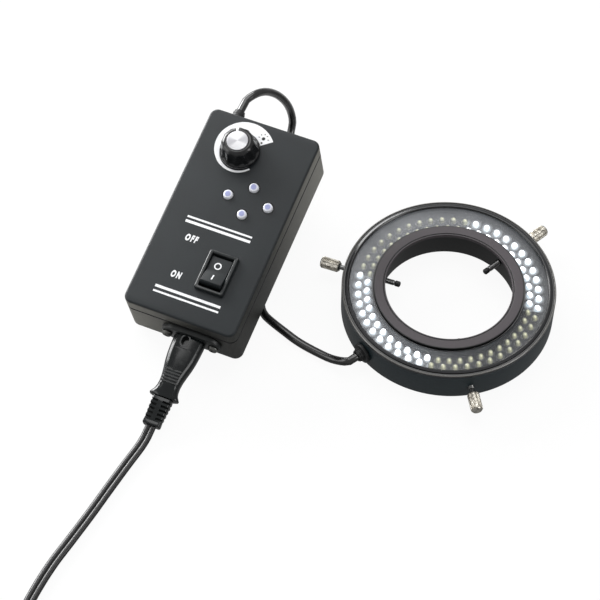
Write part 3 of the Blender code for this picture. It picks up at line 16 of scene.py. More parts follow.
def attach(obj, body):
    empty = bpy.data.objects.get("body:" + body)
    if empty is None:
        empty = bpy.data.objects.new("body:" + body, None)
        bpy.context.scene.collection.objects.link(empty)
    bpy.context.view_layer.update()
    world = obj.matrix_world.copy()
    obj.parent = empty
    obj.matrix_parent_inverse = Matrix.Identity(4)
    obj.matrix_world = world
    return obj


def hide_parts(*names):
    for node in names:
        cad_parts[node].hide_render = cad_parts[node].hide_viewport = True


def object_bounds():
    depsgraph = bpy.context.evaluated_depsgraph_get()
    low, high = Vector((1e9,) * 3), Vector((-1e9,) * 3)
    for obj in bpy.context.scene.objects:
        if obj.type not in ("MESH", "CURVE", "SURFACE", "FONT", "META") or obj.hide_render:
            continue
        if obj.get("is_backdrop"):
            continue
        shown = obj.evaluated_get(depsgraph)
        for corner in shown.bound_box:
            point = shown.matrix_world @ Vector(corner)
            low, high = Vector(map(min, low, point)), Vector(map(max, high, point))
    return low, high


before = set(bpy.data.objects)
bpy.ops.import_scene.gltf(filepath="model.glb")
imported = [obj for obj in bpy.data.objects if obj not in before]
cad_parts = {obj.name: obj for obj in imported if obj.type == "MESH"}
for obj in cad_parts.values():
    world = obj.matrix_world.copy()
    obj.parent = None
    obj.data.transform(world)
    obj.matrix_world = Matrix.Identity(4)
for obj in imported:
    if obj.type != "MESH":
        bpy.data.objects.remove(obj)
SIZE_AT_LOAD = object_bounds()

# %% [markdown]
# ## Two frames to work in
# The box's far end is raised by the coiled lamp cable under it, so that the box leans by 13
# degrees. It is also turned by 23 degrees.
# Its pieces are easiest to place in the box's own frame: x across it, y along it from the mains end,
# z out of its face. The ring has a frame of its own too. Each piece is made there, and its mesh is
# then moved into place, so that every finished object still sits at the origin.

# %% The two frames
MM = 0.001
FOOT_HEIGHT, FOOT_EDGE = 2.0, 6.0
BOX_TILT = math.radians(13)
BOX_YAW = math.radians(-23)
BOX_LIFT = (FOOT_HEIGHT * math.cos(BOX_TILT) - FOOT_EDGE * math.sin(BOX_TILT)) * MM
BOX_ORIGIN = Vector((-74.4 * MM, -33.5 * MM, BOX_LIFT))
BOX_TURN = Euler((BOX_TILT, 0, BOX_YAW))
BOX = Matrix.Translation(BOX_ORIGIN) @ BOX_TURN.to_matrix().to_4x4()
RING_CENTRE = Vector((50.7 * MM, -12.9 * MM, 0))
RING = Matrix.Translation(RING_CENTRE)


def shift(x, y, z):
    """A move in millimetres."""
    return Matrix.Translation((x * MM, y * MM, z * MM))


def spin(angle, axis):
    """A turn in degrees."""
    return Matrix.Rotation(math.radians(angle), 4, axis)


print("box origin", tuple(round(c, 5) for c in BOX_ORIGIN), "ring centre", tuple(RING_CENTRE))

# %% [markdown]
# ## The camera
# The photograph looks down on both parts from about 55 degrees, from far enough off that the
# ring's far side is only a little smaller than its near side. The lens is long for that reason.

# %% Camera
EYE = (-0.0200, -0.5821, 0.8192)
LOOK_DOWN = 55
LENS, SENSOR = 124.2, 36

camera = bpy.data.objects.new("camera", bpy.data.cameras.new("camera"))
bpy.context.scene.collection.objects.link(camera)
camera.location = EYE
camera.rotation_euler = (math.radians(90 - LOOK_DOWN), 0, 0)
camera.data.lens = LENS
camera.data.sensor_width = SENSOR
camera.data.clip_start = 0.01
camera.data.clip_end = 20
bpy.context.scene.camera = camera
print("camera", tuple(camera.location))

# %% [markdown]
# ## Nodes, written as sums
# Both kinds of node tree in this file, the finishes and the Geometry Nodes, are built by one small
# class. `Value` stands for a number that travels through the tree, so that `1 - mask * 0.3` adds
# its Math nodes by itself. Every other node comes from `node`, which takes the node's type, its
# settings, and what feeds its sockets.

# %% Values and nodes
def screen(text):
    """A linear colour from the hexadecimal one seen on a screen."""
    parts = [int(text[i:i + 2], 16) / 255 for i in (0, 2, 4)]
    return (*[c / 12.92 if c <= 0.04045 else ((c + 0.055) / 1.055) ** 2.4 for c in parts], 1.0)


class Value:
    """A socket's output, with arithmetic that adds Math nodes."""

    def __init__(self, maker, socket):
        self.maker = maker
        self.socket = socket

    def math(self, operation, *others):
        return self.maker.node("ShaderNodeMath", {"operation": operation}, [self, *others])

    def __add__(self, other):
        return self.math("ADD", other)

    def __sub__(self, other):
        return self.math("SUBTRACT", other)

    def __mul__(self, other):
        return self.math("MULTIPLY", other)

    def __truediv__(self, other):
        return self.math("DIVIDE", other)

    def __rsub__(self, other):
        return self.maker.node("ShaderNodeMath", {"operation": "SUBTRACT"}, [other, self])

    def __rtruediv__(self, other):
        return self.maker.node("ShaderNodeMath", {"operation": "DIVIDE"}, [other, self])

    __radd__ = __add__
    __rmul__ = __mul__

    def between(self, low, high):
        """1 where the value lies between two limits, else 0."""
        return self.math("GREATER_THAN", low) * self.math("LESS_THAN", high)

    def ramp(self, low, high):
        """0 below low, 1 above high, and even between them."""
        return self.maker.node("ShaderNodeMapRange", {"clamp": True}, [self, low, high, 0.0, 1.0])


class Maker:
    """Adds nodes to one tree."""

    def __init__(self, tree):
        self.tree = tree

    def node(self, kind, settings=None, feeds=(), output=0):
        """One node from its type, its settings, what feeds its sockets, and the output wanted."""
        made = self.tree.nodes.new(kind)
        for key, value in (settings or {}).items():
            setattr(made, key, value)
        pairs = feeds.items() if isinstance(feeds, dict) else enumerate(feeds)
        for key, value in pairs:
            self.feed(made.inputs[key], value)
        return Value(self, made.outputs[output])

    def feed(self, socket, value):
        """Links a Value, or sets a plain value; a colour may be given as hexadecimal text."""
        if isinstance(value, Value):
            self.tree.links.new(value.socket, socket)
        elif value is not None:
            socket.default_value = screen(value) if isinstance(value, str) else value


print("node helpers ready")

# %% [markdown]
# ## Finishes
# A finish starts from what the surface is made of, in colours as they look on a screen. What varies
# over it, such as moulding grain, brushing or printed bands, feeds only the sockets that the export
# can bake. What is the same all over is set on the shader's own sockets.

# %% Finish
class Finish(Maker):
    """One material around a Principled shader."""

    def __init__(self, name, **constants):
        self.material = bpy.data.materials.new(name)
        self.material.use_nodes = True
        super().__init__(self.material.node_tree)
        self.shader = self.tree.nodes["Principled BSDF"]
        self.place = self.node("ShaderNodeTexCoord", output="Object")
        self.set(**constants)

    def set(self, **sockets):
        for key, value in sockets.items():
            self.feed(self.shader.inputs[key.replace("_", " ")], value)

    def mix(self, share, first, second):
        return self.node("ShaderNodeMix", {"data_type": "RGBA"}, {0: share, 6: first, 7: second}, 2)

    def noise(self, size_mm, detail=2.0, rough=0.5):
        """Noise whose lumps are about the given size, from 0 to 1."""
        feeds = {"Vector": self.place, "Scale": 1000 / size_mm, "Detail": detail, "Roughness": rough}
        return self.node("ShaderNodeTexNoise", None, feeds)

    def relief(self, height, depth_mm):
        """Turns a height into the surface's normal."""
        feeds = {"Height": height, "Distance": depth_mm * MM, "Strength": 1.0}
        self.set(Normal=self.node("ShaderNodeBump", None, feeds))

    def local(self, origin, turn=(0, 0, 0)):
        """Object coordinates in a frame that is moved and turned."""
        feeds = {"Vector": self.place, "Location": origin, "Rotation": turn}
        return self.node("ShaderNodeMapping", {"vector_type": "TEXTURE"}, feeds)

    def part_of(self, vector, axis):
        return self.node("ShaderNodeSeparateXYZ", None, [vector], axis)

    def distance(self, vector):
        """Distance from the Z axis of a frame."""
        flat = self.node("ShaderNodeVectorMath", {"operation": "MULTIPLY"}, [vector, (1, 1, 0)])
        return self.node("ShaderNodeVectorMath", {"operation": "LENGTH"}, [flat], "Value")

    def angle(self, vector):
        return self.part_of(vector, "Y").math("ARCTAN2", self.part_of(vector, "X"))


def moulded(name, colour, light, roughness, grain_mm, depth_mm):
    """Moulded plastic or rubber: fine spark-eroded grain, with faint clouds in colour and gloss."""
    spread = 0.08
    made = Finish(name)
    cloud = made.noise(22.0, 3.0)
    grain = made.noise(grain_mm, 2.0, 0.6)
    tone = made.mix(cloud.ramp(0.3, 0.7) * 0.5 + grain * 0.5, colour, light)
    made.set(Base_Color=tone, Roughness=roughness - spread / 2 + cloud * spread + (grain - 0.5) * spread)
    made.relief(grain, depth_mm)
    return made.material


print("finish helpers ready")

# %% [markdown]
# ## Making pieces
# A piece is made in millimetres round a handy frame, moved into place through its mesh, and told
# which CAD nodes it stands for. A loft joins rings of equal length with quads. A turned shape comes
# from its section. Corners of a section are rounded first, so that edges catch the light.

# %% Objects, welds and finishes on them
def new_object(name, verts, faces, where=None):
    mesh = bpy.data.meshes.new(name)
    mesh.from_pydata([tuple(v) for v in verts], [], faces)
    made = bpy.data.objects.new(name, mesh)
    bpy.context.scene.collection.objects.link(made)
    if where is not None:
        mesh.transform(where)
    return made


def tidy_shell(piece, merge=True):
    """Welds doubles and turns the faces of a closed shell outwards."""
    shape = bmesh.new()
    shape.from_mesh(piece.data)
    if merge:
        bmesh.ops.remove_doubles(shape, verts=shape.verts, dist=0.002 * MM)
    bmesh.ops.recalc_face_normals(shape, faces=shape.faces)
    shape.to_mesh(piece.data)
    shape.free()
    return piece


def smooth(piece, angle=32):
    piece.data.shade_smooth()
    piece.data.set_sharp_from_angle(angle=math.radians(angle))
    return piece


def paint(piece, material):
    piece.data.materials.clear()
    piece.data.materials.append(material)
    return piece


def fit(piece, body, slot, *nodes):
    """The piece rides on its body and stands for these nodes."""
    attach(piece, body)
    if nodes:
        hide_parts(*nodes)
    print(piece.name, len(piece.data.polygons), "faces, for", ", ".join(nodes) or "no node")
    return piece


def plain_mesh(piece):
    """The evaluated object as a mesh of its own, with no modifier left."""
    graph = bpy.context.evaluated_depsgraph_get()
    mesh = bpy.data.meshes.new_from_object(piece.evaluated_get(graph))
    piece.modifiers.clear()
    piece.data = mesh
    return piece


print("helpers for single pieces ready")


# %% Lofts and outlines
def skin_faces(rings, count, caps=True):
    """Quads between neighbouring rings of one count, and a face over each end."""
    faces = []
    for r in range(rings - 1):
        for i in range(count):
            a, b = r * count + i, r * count + (i + 1) % count
            faces.append((a, b, b + count, a + count))
    if caps:
        faces.append(tuple(reversed(range(count))))
        faces.append(tuple(range((rings - 1) * count, rings * count)))
    return faces


def loft(name, rings, where=None, caps=True):
    """A skin over rings of points in millimetres, closed at both ends."""
    verts = [[c * MM for c in point] for ring in rings for point in ring]
    return tidy_shell(new_object(name, verts, skin_faces(len(rings), len(rings[0]), caps), where))


def level(outline, height, centre=(0, 0)):
    """A flat outline as a ring at one height, moved to a centre."""
    return [(x + centre[0], y + centre[1], height) for x, y in outline]


def rounded_box(width, length, corner, steps=10):
    """The outline of a rectangle with round corners, centred, in millimetres."""
    points = []
    places = [(1, 1, 0), (-1, 1, 90), (-1, -1, 180), (1, -1, 270)]
    for sx, sy, start in places:
        for i in range(steps + 1):
            turn = math.radians(start + 90 * i / steps)
            points.append((sx * (width / 2 - corner) + corner * math.cos(turn),
                           sy * (length / 2 - corner) + corner * math.sin(turn)))
    return points


def rounded_section(points, steps=4):
    """Rounds the corners of a section: each point is (r, h) or (r, h, radius)."""
    out = []
    for i, point in enumerate(points):
        here = Vector(point[:2])
        radius = point[2] if len(point) > 2 else 0
        before = Vector(points[i - 1][:2]) - here
        after = Vector(points[(i + 1) % len(points)][:2]) - here
        if not radius or before.length < 1e-6 or after.length < 1e-6:
            out.append(tuple(here))
            continue
        half = before.angle(after) / 2
        cut = min(radius / math.tan(half), before.length * 0.49, after.length * 0.49)
        start, end = here + before.normalized() * cut, here + after.normalized() * cut
        for k in range(steps + 1):
            t = k / steps
            out.append(tuple(start * (1 - t) ** 2 + here * 2 * t * (1 - t) + end * t ** 2))
    return out


print("a quarter of a rounded box:", rounded_box(2, 2, 1, 2)[:3])


# %% Cutting and joining
def carve(piece, *cutters, operation="DIFFERENCE"):
    """Booleans with throwaway solids."""
    for cutter in cutters:
        step = piece.modifiers.new("carve", "BOOLEAN")
        step.operation = operation
        step.solver = "EXACT"
        step.object = cutter
    plain_mesh(piece)
    for cutter in cutters:
        bpy.data.objects.remove(cutter, do_unlink=True)
    return piece


def merged(name, pieces, material=None):
    """Several pieces as one mesh, each keeping its own finish."""
    bpy.ops.object.select_all(action="DESELECT")
    for piece in pieces:
        piece.select_set(True)
    bpy.context.view_layer.objects.active = pieces[0]
    bpy.ops.object.join()
    pieces[0].name = name
    return paint(pieces[0], material) if material else pieces[0]


print("cutting and joining ready")

# %% [markdown]
# ## Routes of the two cords
# The lamp cable leaves the far wall, bends over into a coil that lies under the box, and comes out
# beside it to reach the ring. The mains lead is flat twin flex: its last part is put away in a coil
# just outside the picture. Both follow the same points as the CAD solids, on a finer curve.

# %% Smooth routes
STEPS_BETWEEN = 24


def smooth_route(points, spacing):
    """Evenly spaced points on a smooth curve through the given ones; both end stretches stay straight."""
    given = [Vector(p) for p in points]
    fine = []
    for a, b, c, d in zip(given, given[1:], given[2:], given[3:]):
        t1 = math.sqrt((b - a).length)
        t2 = t1 + math.sqrt((c - b).length)
        t3 = t2 + math.sqrt((d - c).length)
        for i in range(STEPS_BETWEEN):
            t = t1 + (t2 - t1) * i / STEPS_BETWEEN
            ab, bc = a.lerp(b, t / t1), b.lerp(c, (t - t1) / (t2 - t1))
            cd = c.lerp(d, (t - t2) / (t3 - t2))
            abc, bcd = ab.lerp(bc, t / t2), bc.lerp(cd, (t - t1) / (t3 - t1))
            fine.append(abc.lerp(bcd, (t - t1) / (t2 - t1)))
    fine.append(given[-2])
    return [given[0], *respaced(fine, spacing), given[-1]]


def respaced(points, spacing):
    line = np.array([tuple(p) for p in points])
    along = np.concatenate([[0], np.cumsum(np.linalg.norm(np.diff(line, axis=0), axis=1))])
    count = max(3, round(along[-1] / spacing) + 1)
    at = np.linspace(0, along[-1], count)
    return [Vector([np.interp(t, along, line[:, k]) for k in range(3)]) for t in at]


print("smooth routes ready")


# %% Coils
COIL_STEPS = 40


def coil_route(centre, radius, pitch, layer, layers, turns, start, floor, steps):
    """Turns that spiral in and out at a steady rate and climb where the spiral reverses."""
    count = round(turns * steps)
    per_layer = turns / layers
    outer = radius + per_layer * pitch / 2
    points = []
    for i in range(count + 1):
        turn = min(i / steps, turns)
        band = min(int(turn / per_layer), layers - 1)
        share = turn - band * per_layer
        inward = share if band % 2 == 0 else per_layer - share
        out = outer - inward * pitch
        height = sum(layer * min(max((turn - k * per_layer) * 2 + 0.5, 0), 1) for k in range(1, layers))
        angle = start + math.tau * turn
        points.append(Vector((centre[0] + out * math.cos(angle), centre[1] + out * math.sin(angle),
                              floor + height)))
    return points


def direction(points, i, j):
    return (points[j] - points[i]).normalized()


def length_of(points):
    return sum((b - a).length for a, b in zip(points, points[1:]))


def joined_route(*parts):
    """One line from several, without its doubled points."""
    line = [p for part in parts for p in part]
    kept = [line[0]]
    for point in line[1:]:
        if (point - kept[-1]).length > 0.9 * MM:
            kept.append(point)
    return kept


print("coils and joins ready")


# %% A sheath along a route
def box_point(x, y, z):
    return BOX @ Vector((x * MM, y * MM, z * MM))


def sheath(name, line, section, material):
    """A tube of the given section along a line, its width kept level."""
    rings = []
    for i, point in enumerate(line):
        ahead = direction(line, max(i - 1, 0), min(i + 1, len(line) - 1))
        side = ahead.cross(Vector((0, 0, 1)))
        side = side.normalized() if side.length > 0.02 else rings[-1][1]
        if rings and side.dot(rings[-1][1]) < 0:
            side = -side
        rings.append((point, side, side.cross(ahead).normalized()))
    verts = [p + s * x + u * y for p, s, u in rings for x, y in section]
    made = tidy_shell(new_object(name, verts, skin_faces(len(rings), len(section))), merge=False)
    return smooth(paint(made, material), 50)


print("sheath ready")


# %% The mains lead's route
CORD_WIDTH, CORD_THICKNESS = 5.2 * MM, 2.8 * MM
INLET_X, ENTRY_HEIGHT = 5.8, 14.5
FLANGE, SEAM, CONNECTOR_LENGTH, RELIEF_LENGTH = 2.4, 0.3, 31.0, 14.0
RELIEF_END = (INLET_X, -(FLANGE + 4 * SEAM + CONNECTOR_LENGTH + RELIEF_LENGTH), ENTRY_HEIGHT)
PLUG_REACH, PLUG_HEIGHT = 26.3, 7
MAINS_ROUTE = [(-93.2, -91.9, 2.4), (-99.0, -101.0, 1.8), (-106.8, -114.1, 1.6), (-114.6, -127.6, 1.6),
               (-122.5, -140.6, 1.6), (-130.2, -153.3, 1.6), (-138.4, -170.5, 1.6)]
MAINS_COIL = ((-119.5 * MM, -222.9 * MM), 27.6 * MM, 5.9 * MM, 3.4 * MM, 4, 9.35, math.radians(165),
              2.4 * MM)


def mains_line():
    """The CAD's coil has twelve points a turn, and its last stretch gives the plug's heading."""
    coarse = coil_route(*MAINS_COIL, 12)
    coil = coil_route(*MAINS_COIL, COIL_STEPS)
    out = BOX_TURN.to_matrix() @ Vector((0, -1, 0))
    leave = box_point(*RELIEF_END)
    first = direction(coil, 1, 0)
    route = [leave, leave + out * CORD_WIDTH, *[Vector(p) * MM for p in MAINS_ROUTE]]
    route += [coil[0] + first * CORD_WIDTH, coil[0]]
    heading = direction(coarse, -2, -1)
    heading = Vector((heading.x, heading.y, 0)).normalized()
    plug = coarse[-1] + heading * PLUG_REACH * MM
    plug.z = PLUG_HEIGHT * MM
    last = direction(coil, -2, -1)
    tail = [coil[-1], coil[-1] + last * CORD_WIDTH, plug - heading * CORD_WIDTH, plug]
    line = joined_route(smooth_route(route, 3 * MM), coil, smooth_route(tail, 2 * MM))
    return line, plug + heading * SEAM * MM, heading


MAINS_LINE, PLUG_PLACE, PLUG_HEADING = mains_line()
print(f"mains lead {length_of(MAINS_LINE):.3f} m in {len(MAINS_LINE)} rings")

# %% The lamp cable's route
CABLE_RADIUS = 2.0 * MM
GLAND_X, SLEEVE_END = -19.5, 116.6
BUSH_ANGLE, BUSH_REACH, CROSS_HEIGHT = 217, 55.6, 7.5
GLAND_FROM_BOX = [(-19.2, 123.0, 14.5), (-17.7, 126.4, 14.0), (-15.6, 130.6, 11.8), (-13.0, 134.6, 7.3),
                  (-9.6, 137.2, 1.6), (-6.1, 137.8, -4.7), (-3.6, 136.7, -10.6), (-1.8, 133.8, -15.6),
                  (-0.9, 128.0, -19.6), (5.5, 115.7, -18.7)]
LAMP_ROUTE = [(-32.6, 6.5, 2.4), (-37.3, -5.5, 2.2), (-38.8, -12.4, 2.2), (-37.2, -18.4, 2.2),
              (-33.2, -23.0, 2.2), (-27.7, -28.2, 2.2), (-21.0, -34.2, 2.2), (-12.3, -40.2, 2.4),
              (-4.2, -45.4, 3.8)]
COIL_IN_BOX_FRAME = (-7.0, 72.2)
COIL_RADIUS, COIL_PITCH, COIL_TURNS, COIL_START, COIL_FLOOR = 19.5, 4.5, 8.08, -22.5, 3.0


def lamp_line():
    """Two layers of turns under the box, then a run to the bush in the ring's wall."""
    away = Matrix.Rotation(BOX_YAW, 3, "Z") @ Vector([c * MM for c in (*COIL_IN_BOX_FRAME, 0)])
    centre = (BOX_ORIGIN.x + away.x, BOX_ORIGIN.y + away.y)
    coil = coil_route(centre, COIL_RADIUS * MM, COIL_PITCH * MM, COIL_PITCH * MM, 2, COIL_TURNS,
                      math.radians(COIL_START), COIL_FLOOR * MM, COIL_STEPS)
    leave = box_point(GLAND_X, SLEEVE_END, ENTRY_HEIGHT)
    meet = coil[-1] + direction(coil, -2, -1) * SEAM * MM
    upper = [leave, *[box_point(*p) for p in GLAND_FROM_BOX]]
    upper += [meet + direction(coil, -2, -1) * 2 * CABLE_RADIUS, meet]
    start = direction(coil, 1, 0)
    begin = coil[0] + start * SEAM * MM
    turn = math.radians(BUSH_ANGLE)
    outward = Vector((math.cos(turn), math.sin(turn), 0))
    bush = RING_CENTRE + Vector((0, 0, CROSS_HEIGHT * MM)) + outward * BUSH_REACH * MM
    lower = [begin, begin + start * 2 * CABLE_RADIUS, *[Vector(p) * MM for p in LAMP_ROUTE]]
    lower += [bush + outward * 2 * CABLE_RADIUS, bush]
    line = joined_route(smooth_route(upper, 2.5 * MM), reversed(coil), smooth_route(lower, 2.5 * MM))
    return line, centre


LAMP_LINE, LAMP_COIL_CENTRE = lamp_line()
print(f"lamp cable {length_of(LAMP_LINE):.3f} m in {len(LAMP_LINE)} rings")

# %% [markdown]
# ## Cord finishes
# The mains flex is two round cores side by side. Each shows a soft highlight down its length, and
# the groove between them is painted matt black, as painted shade in the crease. The lamp cable is
# round, blacker and glossier. The highlights break up a little, since the sheaths are slightly wavy
# and dulled by handling.

# %% The two cords
def flex_finish(name, colour, light, dull, shine):
    made = Finish(name, Specular_IOR_Level=shine)
    wave = made.noise(14.0, 2.0)
    scuff = made.noise(4.5, 1.0)
    made.set(Base_Color=made.mix(scuff, colour, light),
             Roughness=dull + wave * 0.08 + scuff.ramp(0.5, 0.75) * 0.06)
    made.relief(wave, 0.03)
    return made.material


def twin_section(steps=14):
    """Two round cores side by side with a groove where they meet."""
    thick = CORD_THICKNESS / 2
    core = CORD_WIDTH / 2 - thick
    reach = math.acos(-core / thick) * 0.97
    turns = [reach * (2 * i / steps - 1) for i in range(steps + 1)]
    side = [(core + thick * math.cos(t), thick * math.sin(t)) for t in turns]
    return side + [(-x, -y) for x, y in side]


def blacken_groove(lead, count, material):
    """The faces between the two cores get a matt black of their own: painted shade in the crease."""
    lead.data.materials.append(material)
    half = count // 2
    for face in lead.data.polygons[:-2]:
        step = face.index % count
        face.material_index = int(step % half in (half - 2, half - 1, 0))
    return lead


def round_section(radius, steps=18):
    turns = [math.tau * i / steps for i in range(steps)]
    return [(radius * math.cos(t), radius * math.sin(t)) for t in turns]


MAINS_FLEX = flex_finish("mains_flex_pvc", "0b0b0b", "1c1c1d", 0.27, 0.5)
LAMP_FLEX = flex_finish("lamp_flex_pvc", "060607", "101011", 0.17, 0.9)
# The groove between the cores is painted near black, as painted shade.
GROOVE_SHADE = moulded("flex_groove_shade", "020202", "070707", 0.8, 1.5, 0.01)
mains_lead = sheath("mains_lead", MAINS_LINE, twin_section(), MAINS_FLEX)
blacken_groove(mains_lead, len(twin_section()), GROOVE_SHADE)
lamp_lead = sheath("lamp_lead", LAMP_LINE, round_section(CABLE_RADIUS), LAMP_FLEX)
fit(mains_lead, "base", "cord_sheath", "mains_cord", "mains_cord_coil", "mains_cord_end")
fit(lamp_lead, "base", "cord_sheath", "lamp_cable_upper", "lamp_cable_coil", "lamp_cable_lower")

# %% [markdown]
# ## Floor and light
# The floor is plain and pale, and the picture's background is white. Rays from the camera and rays
# through clear plastic see that white at once, through Light Path. Mirror reflections see a floor
# that is bright at the far left and dim in front, as they do in the photograph, so black plastic
# stays black and its left edges shine. The light comes from a big lamp overhead, a window on the
# left, a strip and a card behind on the left that draw the bright edges, and a fill.

# %% White floor and backdrop
FAR_LEFT = (-0.56, 0.83, 0)


def white_surroundings(name, colour, shadowed, dim, bright):
    """A pale diffuse surface that camera rays see as white, but for its shadows."""
    made = bpy.data.materials.new(name)
    made.use_nodes = True
    maker = Maker(made.node_tree)
    tree = made.node_tree
    tree.nodes.remove(tree.nodes["Principled BSDF"])
    path = tree.nodes.new("ShaderNodeLightPath")
    seen = Value(maker, path.outputs["Is Camera Ray"])
    mirrored = Value(maker, path.outputs["Is Glossy Ray"])
    through = Value(maker, path.outputs["Is Transmission Ray"])
    share = (seen + through).math("MINIMUM", 1.0) * (1 - shadowed) + mirrored
    diffuse = maker.node("ShaderNodeBsdfDiffuse", None, {"Color": colour}, "BSDF")
    place = maker.node("ShaderNodeTexCoord", output="Object")
    towards = maker.node("ShaderNodeVectorMath", {"operation": "DOT_PRODUCT"}, [place, FAR_LEFT], "Value")
    mirrored_as = dim + towards.ramp(0.0, 0.1) * (bright - dim)
    strength = 1 - mirrored * (1 - mirrored_as)
    glow = maker.node("ShaderNodeEmission", None, {"Color": (1, 1, 1, 1), "Strength": strength}, "Emission")
    mixed = maker.node("ShaderNodeMixShader", None, [share.math("MINIMUM", 1.0), diffuse, glow])
    tree.links.new(mixed.socket, tree.nodes["Material Output"].inputs["Surface"])
    return made


def flat_sheet(name, size, height):
    corners = [(-size, -size, height), (size, -size, height), (size, size, height), (-size, size, height)]
    made = new_object(name, corners, [(0, 1, 2, 3)])
    made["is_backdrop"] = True
    return made


floor = flat_sheet("studio_floor", 3.0, -0.0002)
paint(floor, white_surroundings("floor_white", (0.9, 0.9, 0.9, 1), shadowed=0.07, dim=0.24, bright=1.2))
print("floor", floor.dimensions[:])


# %% Lamps and world
def soft_lamp(name, place, target, width, height, power):
    lamp = bpy.data.lights.new(name, "AREA")
    lamp.shape = "RECTANGLE"
    lamp.size, lamp.size_y, lamp.energy = width, height, power
    made = bpy.data.objects.new(name, lamp)
    bpy.context.scene.collection.objects.link(made)
    made.location = place
    made.rotation_euler = (Vector(target) - Vector(place)).to_track_quat("-Z", "Y").to_euler()


# name, then place, aim, width and height in metres, and power in watts
LAMPS = [("overhead", (0.05, 0.4, 1.05), (0, 0, 0), 0.9, 0.7, 4.7),
         ("left_window", (-0.9, -0.1, 0.55), (0, 0, 0), 0.5, 0.8, 2.4),
         ("left_card", (-0.6, 0.5, 0.24), (-0.08, -0.08, 0.03), 0.42, 0.48, 6.5),
         ("back_strip", (-0.5, 0.82, 0.45), (0, 0, 0), 1.0, 0.36, 9.5),
         ("right_fill", (0.8, -0.45, 0.5), (0.03, 0, 0), 0.35, 0.6, 2.2)]
for lamp_values in LAMPS:
    soft_lamp(*lamp_values)

AMBIENT = 0.42
world = bpy.data.worlds.new("studio")
bpy.context.scene.world = world
world.use_nodes = True
sky = Maker(world.node_tree)
path = world.node_tree.nodes.new("ShaderNodeLightPath")
direct = Value(sky, path.outputs["Is Camera Ray"]) + Value(sky, path.outputs["Is Transmission Ray"])
strength = AMBIENT + direct.math("MINIMUM", 1.0) * (1 - AMBIENT)
sky.feed(world.node_tree.nodes["Background"].inputs["Color"], (1, 1, 1, 1))
sky.feed(world.node_tree.nodes["Background"].inputs["Strength"], strength)
bpy.context.scene.view_settings.view_transform = "Standard"
print(len(LAMPS), "lamps and a soft world")

# %% [markdown]
# ## The control box
# The case is two mouldings in charcoal ABS with a fine spark-eroded grain, which meet at a groove
# all round. Each is lofted from a stack of rounded outlines, so the rim's rounding is exact, and
# then hollowed and pierced with Booleans. The walls are painted lighter and warmer than the face, and
# paler still towards the right and the front, as a painted reflection of the bright floor. The
# groove and a ring round each key are painted near black, as painted shade.

# %% Case plastic
BUTTON_PLACES = [(-2.9, 67.0), (7.4, 74.4), (17.7, 67.0), (7.4, 59.6)]
KEY_HOLE = 2.7
PARTING = (20.4, 21.9)


def case_finish():
    """Masks by place: the groove and a ring round each key's hole, painted near black as shade; the walls,
    painted lighter than the face as a reflection; and the parts of the walls painted paler still.
    """
    made = Finish("case_plastic", Specular_IOR_Level=0.36)
    here = made.local(BOX_ORIGIN, BOX_TURN)
    cloud = made.noise(30.0, 3.0)
    grain = made.noise(0.42, 2.0, 0.65)
    sparks = made.noise(0.9, 4.0, 0.7)
    height = made.part_of(here, "Z") * 1000
    groove = height.between(*PARTING)
    side = 1 - height.ramp(27.9, 28.6)
    face = made.mix(cloud.ramp(0.35, 0.65) * 0.6 + sparks * 0.4, "13171a", "1a2023")
    across, along = made.part_of(here, "X") * 1000, made.part_of(here, "Y") * 1000
    # The walls are painted lighter and warmer than the face, and the far end of the right wall and the front
    # wall paler still: a painted reflection of the bright floor.
    right = along.ramp(35, 108) * across.ramp(20, 28)
    front = (across * -1).ramp(-12, 26) * (1 - along.ramp(1.2, 3.5)) * 0.8
    painted_wall_sheen = right.math("MAXIMUM", front)
    plain = made.mix(cloud.ramp(0.3, 0.7) * 0.5 + sparks * 0.5, "242524", "323330")
    wall = made.mix(painted_wall_sheen * (0.5 + sparks * 0.5), plain, "78766d")
    tone = made.mix(side, face, wall)
    # The groove between the mouldings and a ring round each key's hole are painted near black: painted shade
    # in the groove and in the gap round each key.
    dark = groove
    for x, y in BUTTON_PLACES:
        apart = made.node("ShaderNodeVectorMath", {"operation": "SUBTRACT"}, [here, (x * MM, y * MM, 0)])
        dark = dark.math("MAXIMUM", made.distance(apart).math("LESS_THAN", (KEY_HOLE + 0.35) * MM))
    made.set(Base_Color=made.mix(dark, tone, "0a0a0b"))
    made.set(Roughness=0.46 + cloud * 0.1 + (grain - 0.5) * 0.14)
    made.relief(grain * 0.6 + sparks * 0.4, 0.05)
    return made.material


CASE = case_finish()
print("case plastic ready")


# %% Blocks and bores
def bore(name, radius, start, end, where=BOX, steps=48):
    """A round solid between two points in millimetres."""
    start, end = Vector(start), Vector(end)
    turn = (end - start).to_track_quat("Z", "Y").to_matrix()
    rings = [[start + turn @ Vector((x, y, z)) for x, y in round_section(radius, steps)]
             for z in (0, (end - start).length)]
    return loft(name, rings, where)


def slab(name, width, length, low, high, centre=(0, 0), corner=0.3, where=BOX, steps=4):
    """A plate or block with upright rounded corners."""
    outline = rounded_box(width, length, corner, steps)
    return loft(name, [level(outline, z, centre) for z in (low, high)], where)


print("blocks and bores ready")


# %% Two mouldings
CASE_WIDTH, CASE_LENGTH, CASE_CORNER, CASE_WALL, FACE = 57.0, 108.0, 4.0, 2.0, 29.0
CASE_MIDDLE = (0, CASE_LENGTH / 2)
ROOM = (CASE_WIDTH - 2 * CASE_WALL, CASE_LENGTH - 2 * CASE_WALL)
GROOVE_DEPTH = 0.35
KNOB_AT, SWITCH_AT = (-6.4, 90.0), (8.4, 27.4)
CASE_SCREWS = [(x, y) for x in (-24, 24) for y in (20, 88)]


def case_ring(inset, height):
    """The case's outline, drawn in by the inset."""
    outline = rounded_box(CASE_WIDTH - 2 * inset, CASE_LENGTH - 2 * inset, max(CASE_CORNER - inset, 0.6))
    return level(outline, height, CASE_MIDDLE)


def quarter_round(steps):
    """Turns from 0 to 90 degrees, in radians."""
    return [math.pi / 2 * i / steps for i in range(steps + 1)]


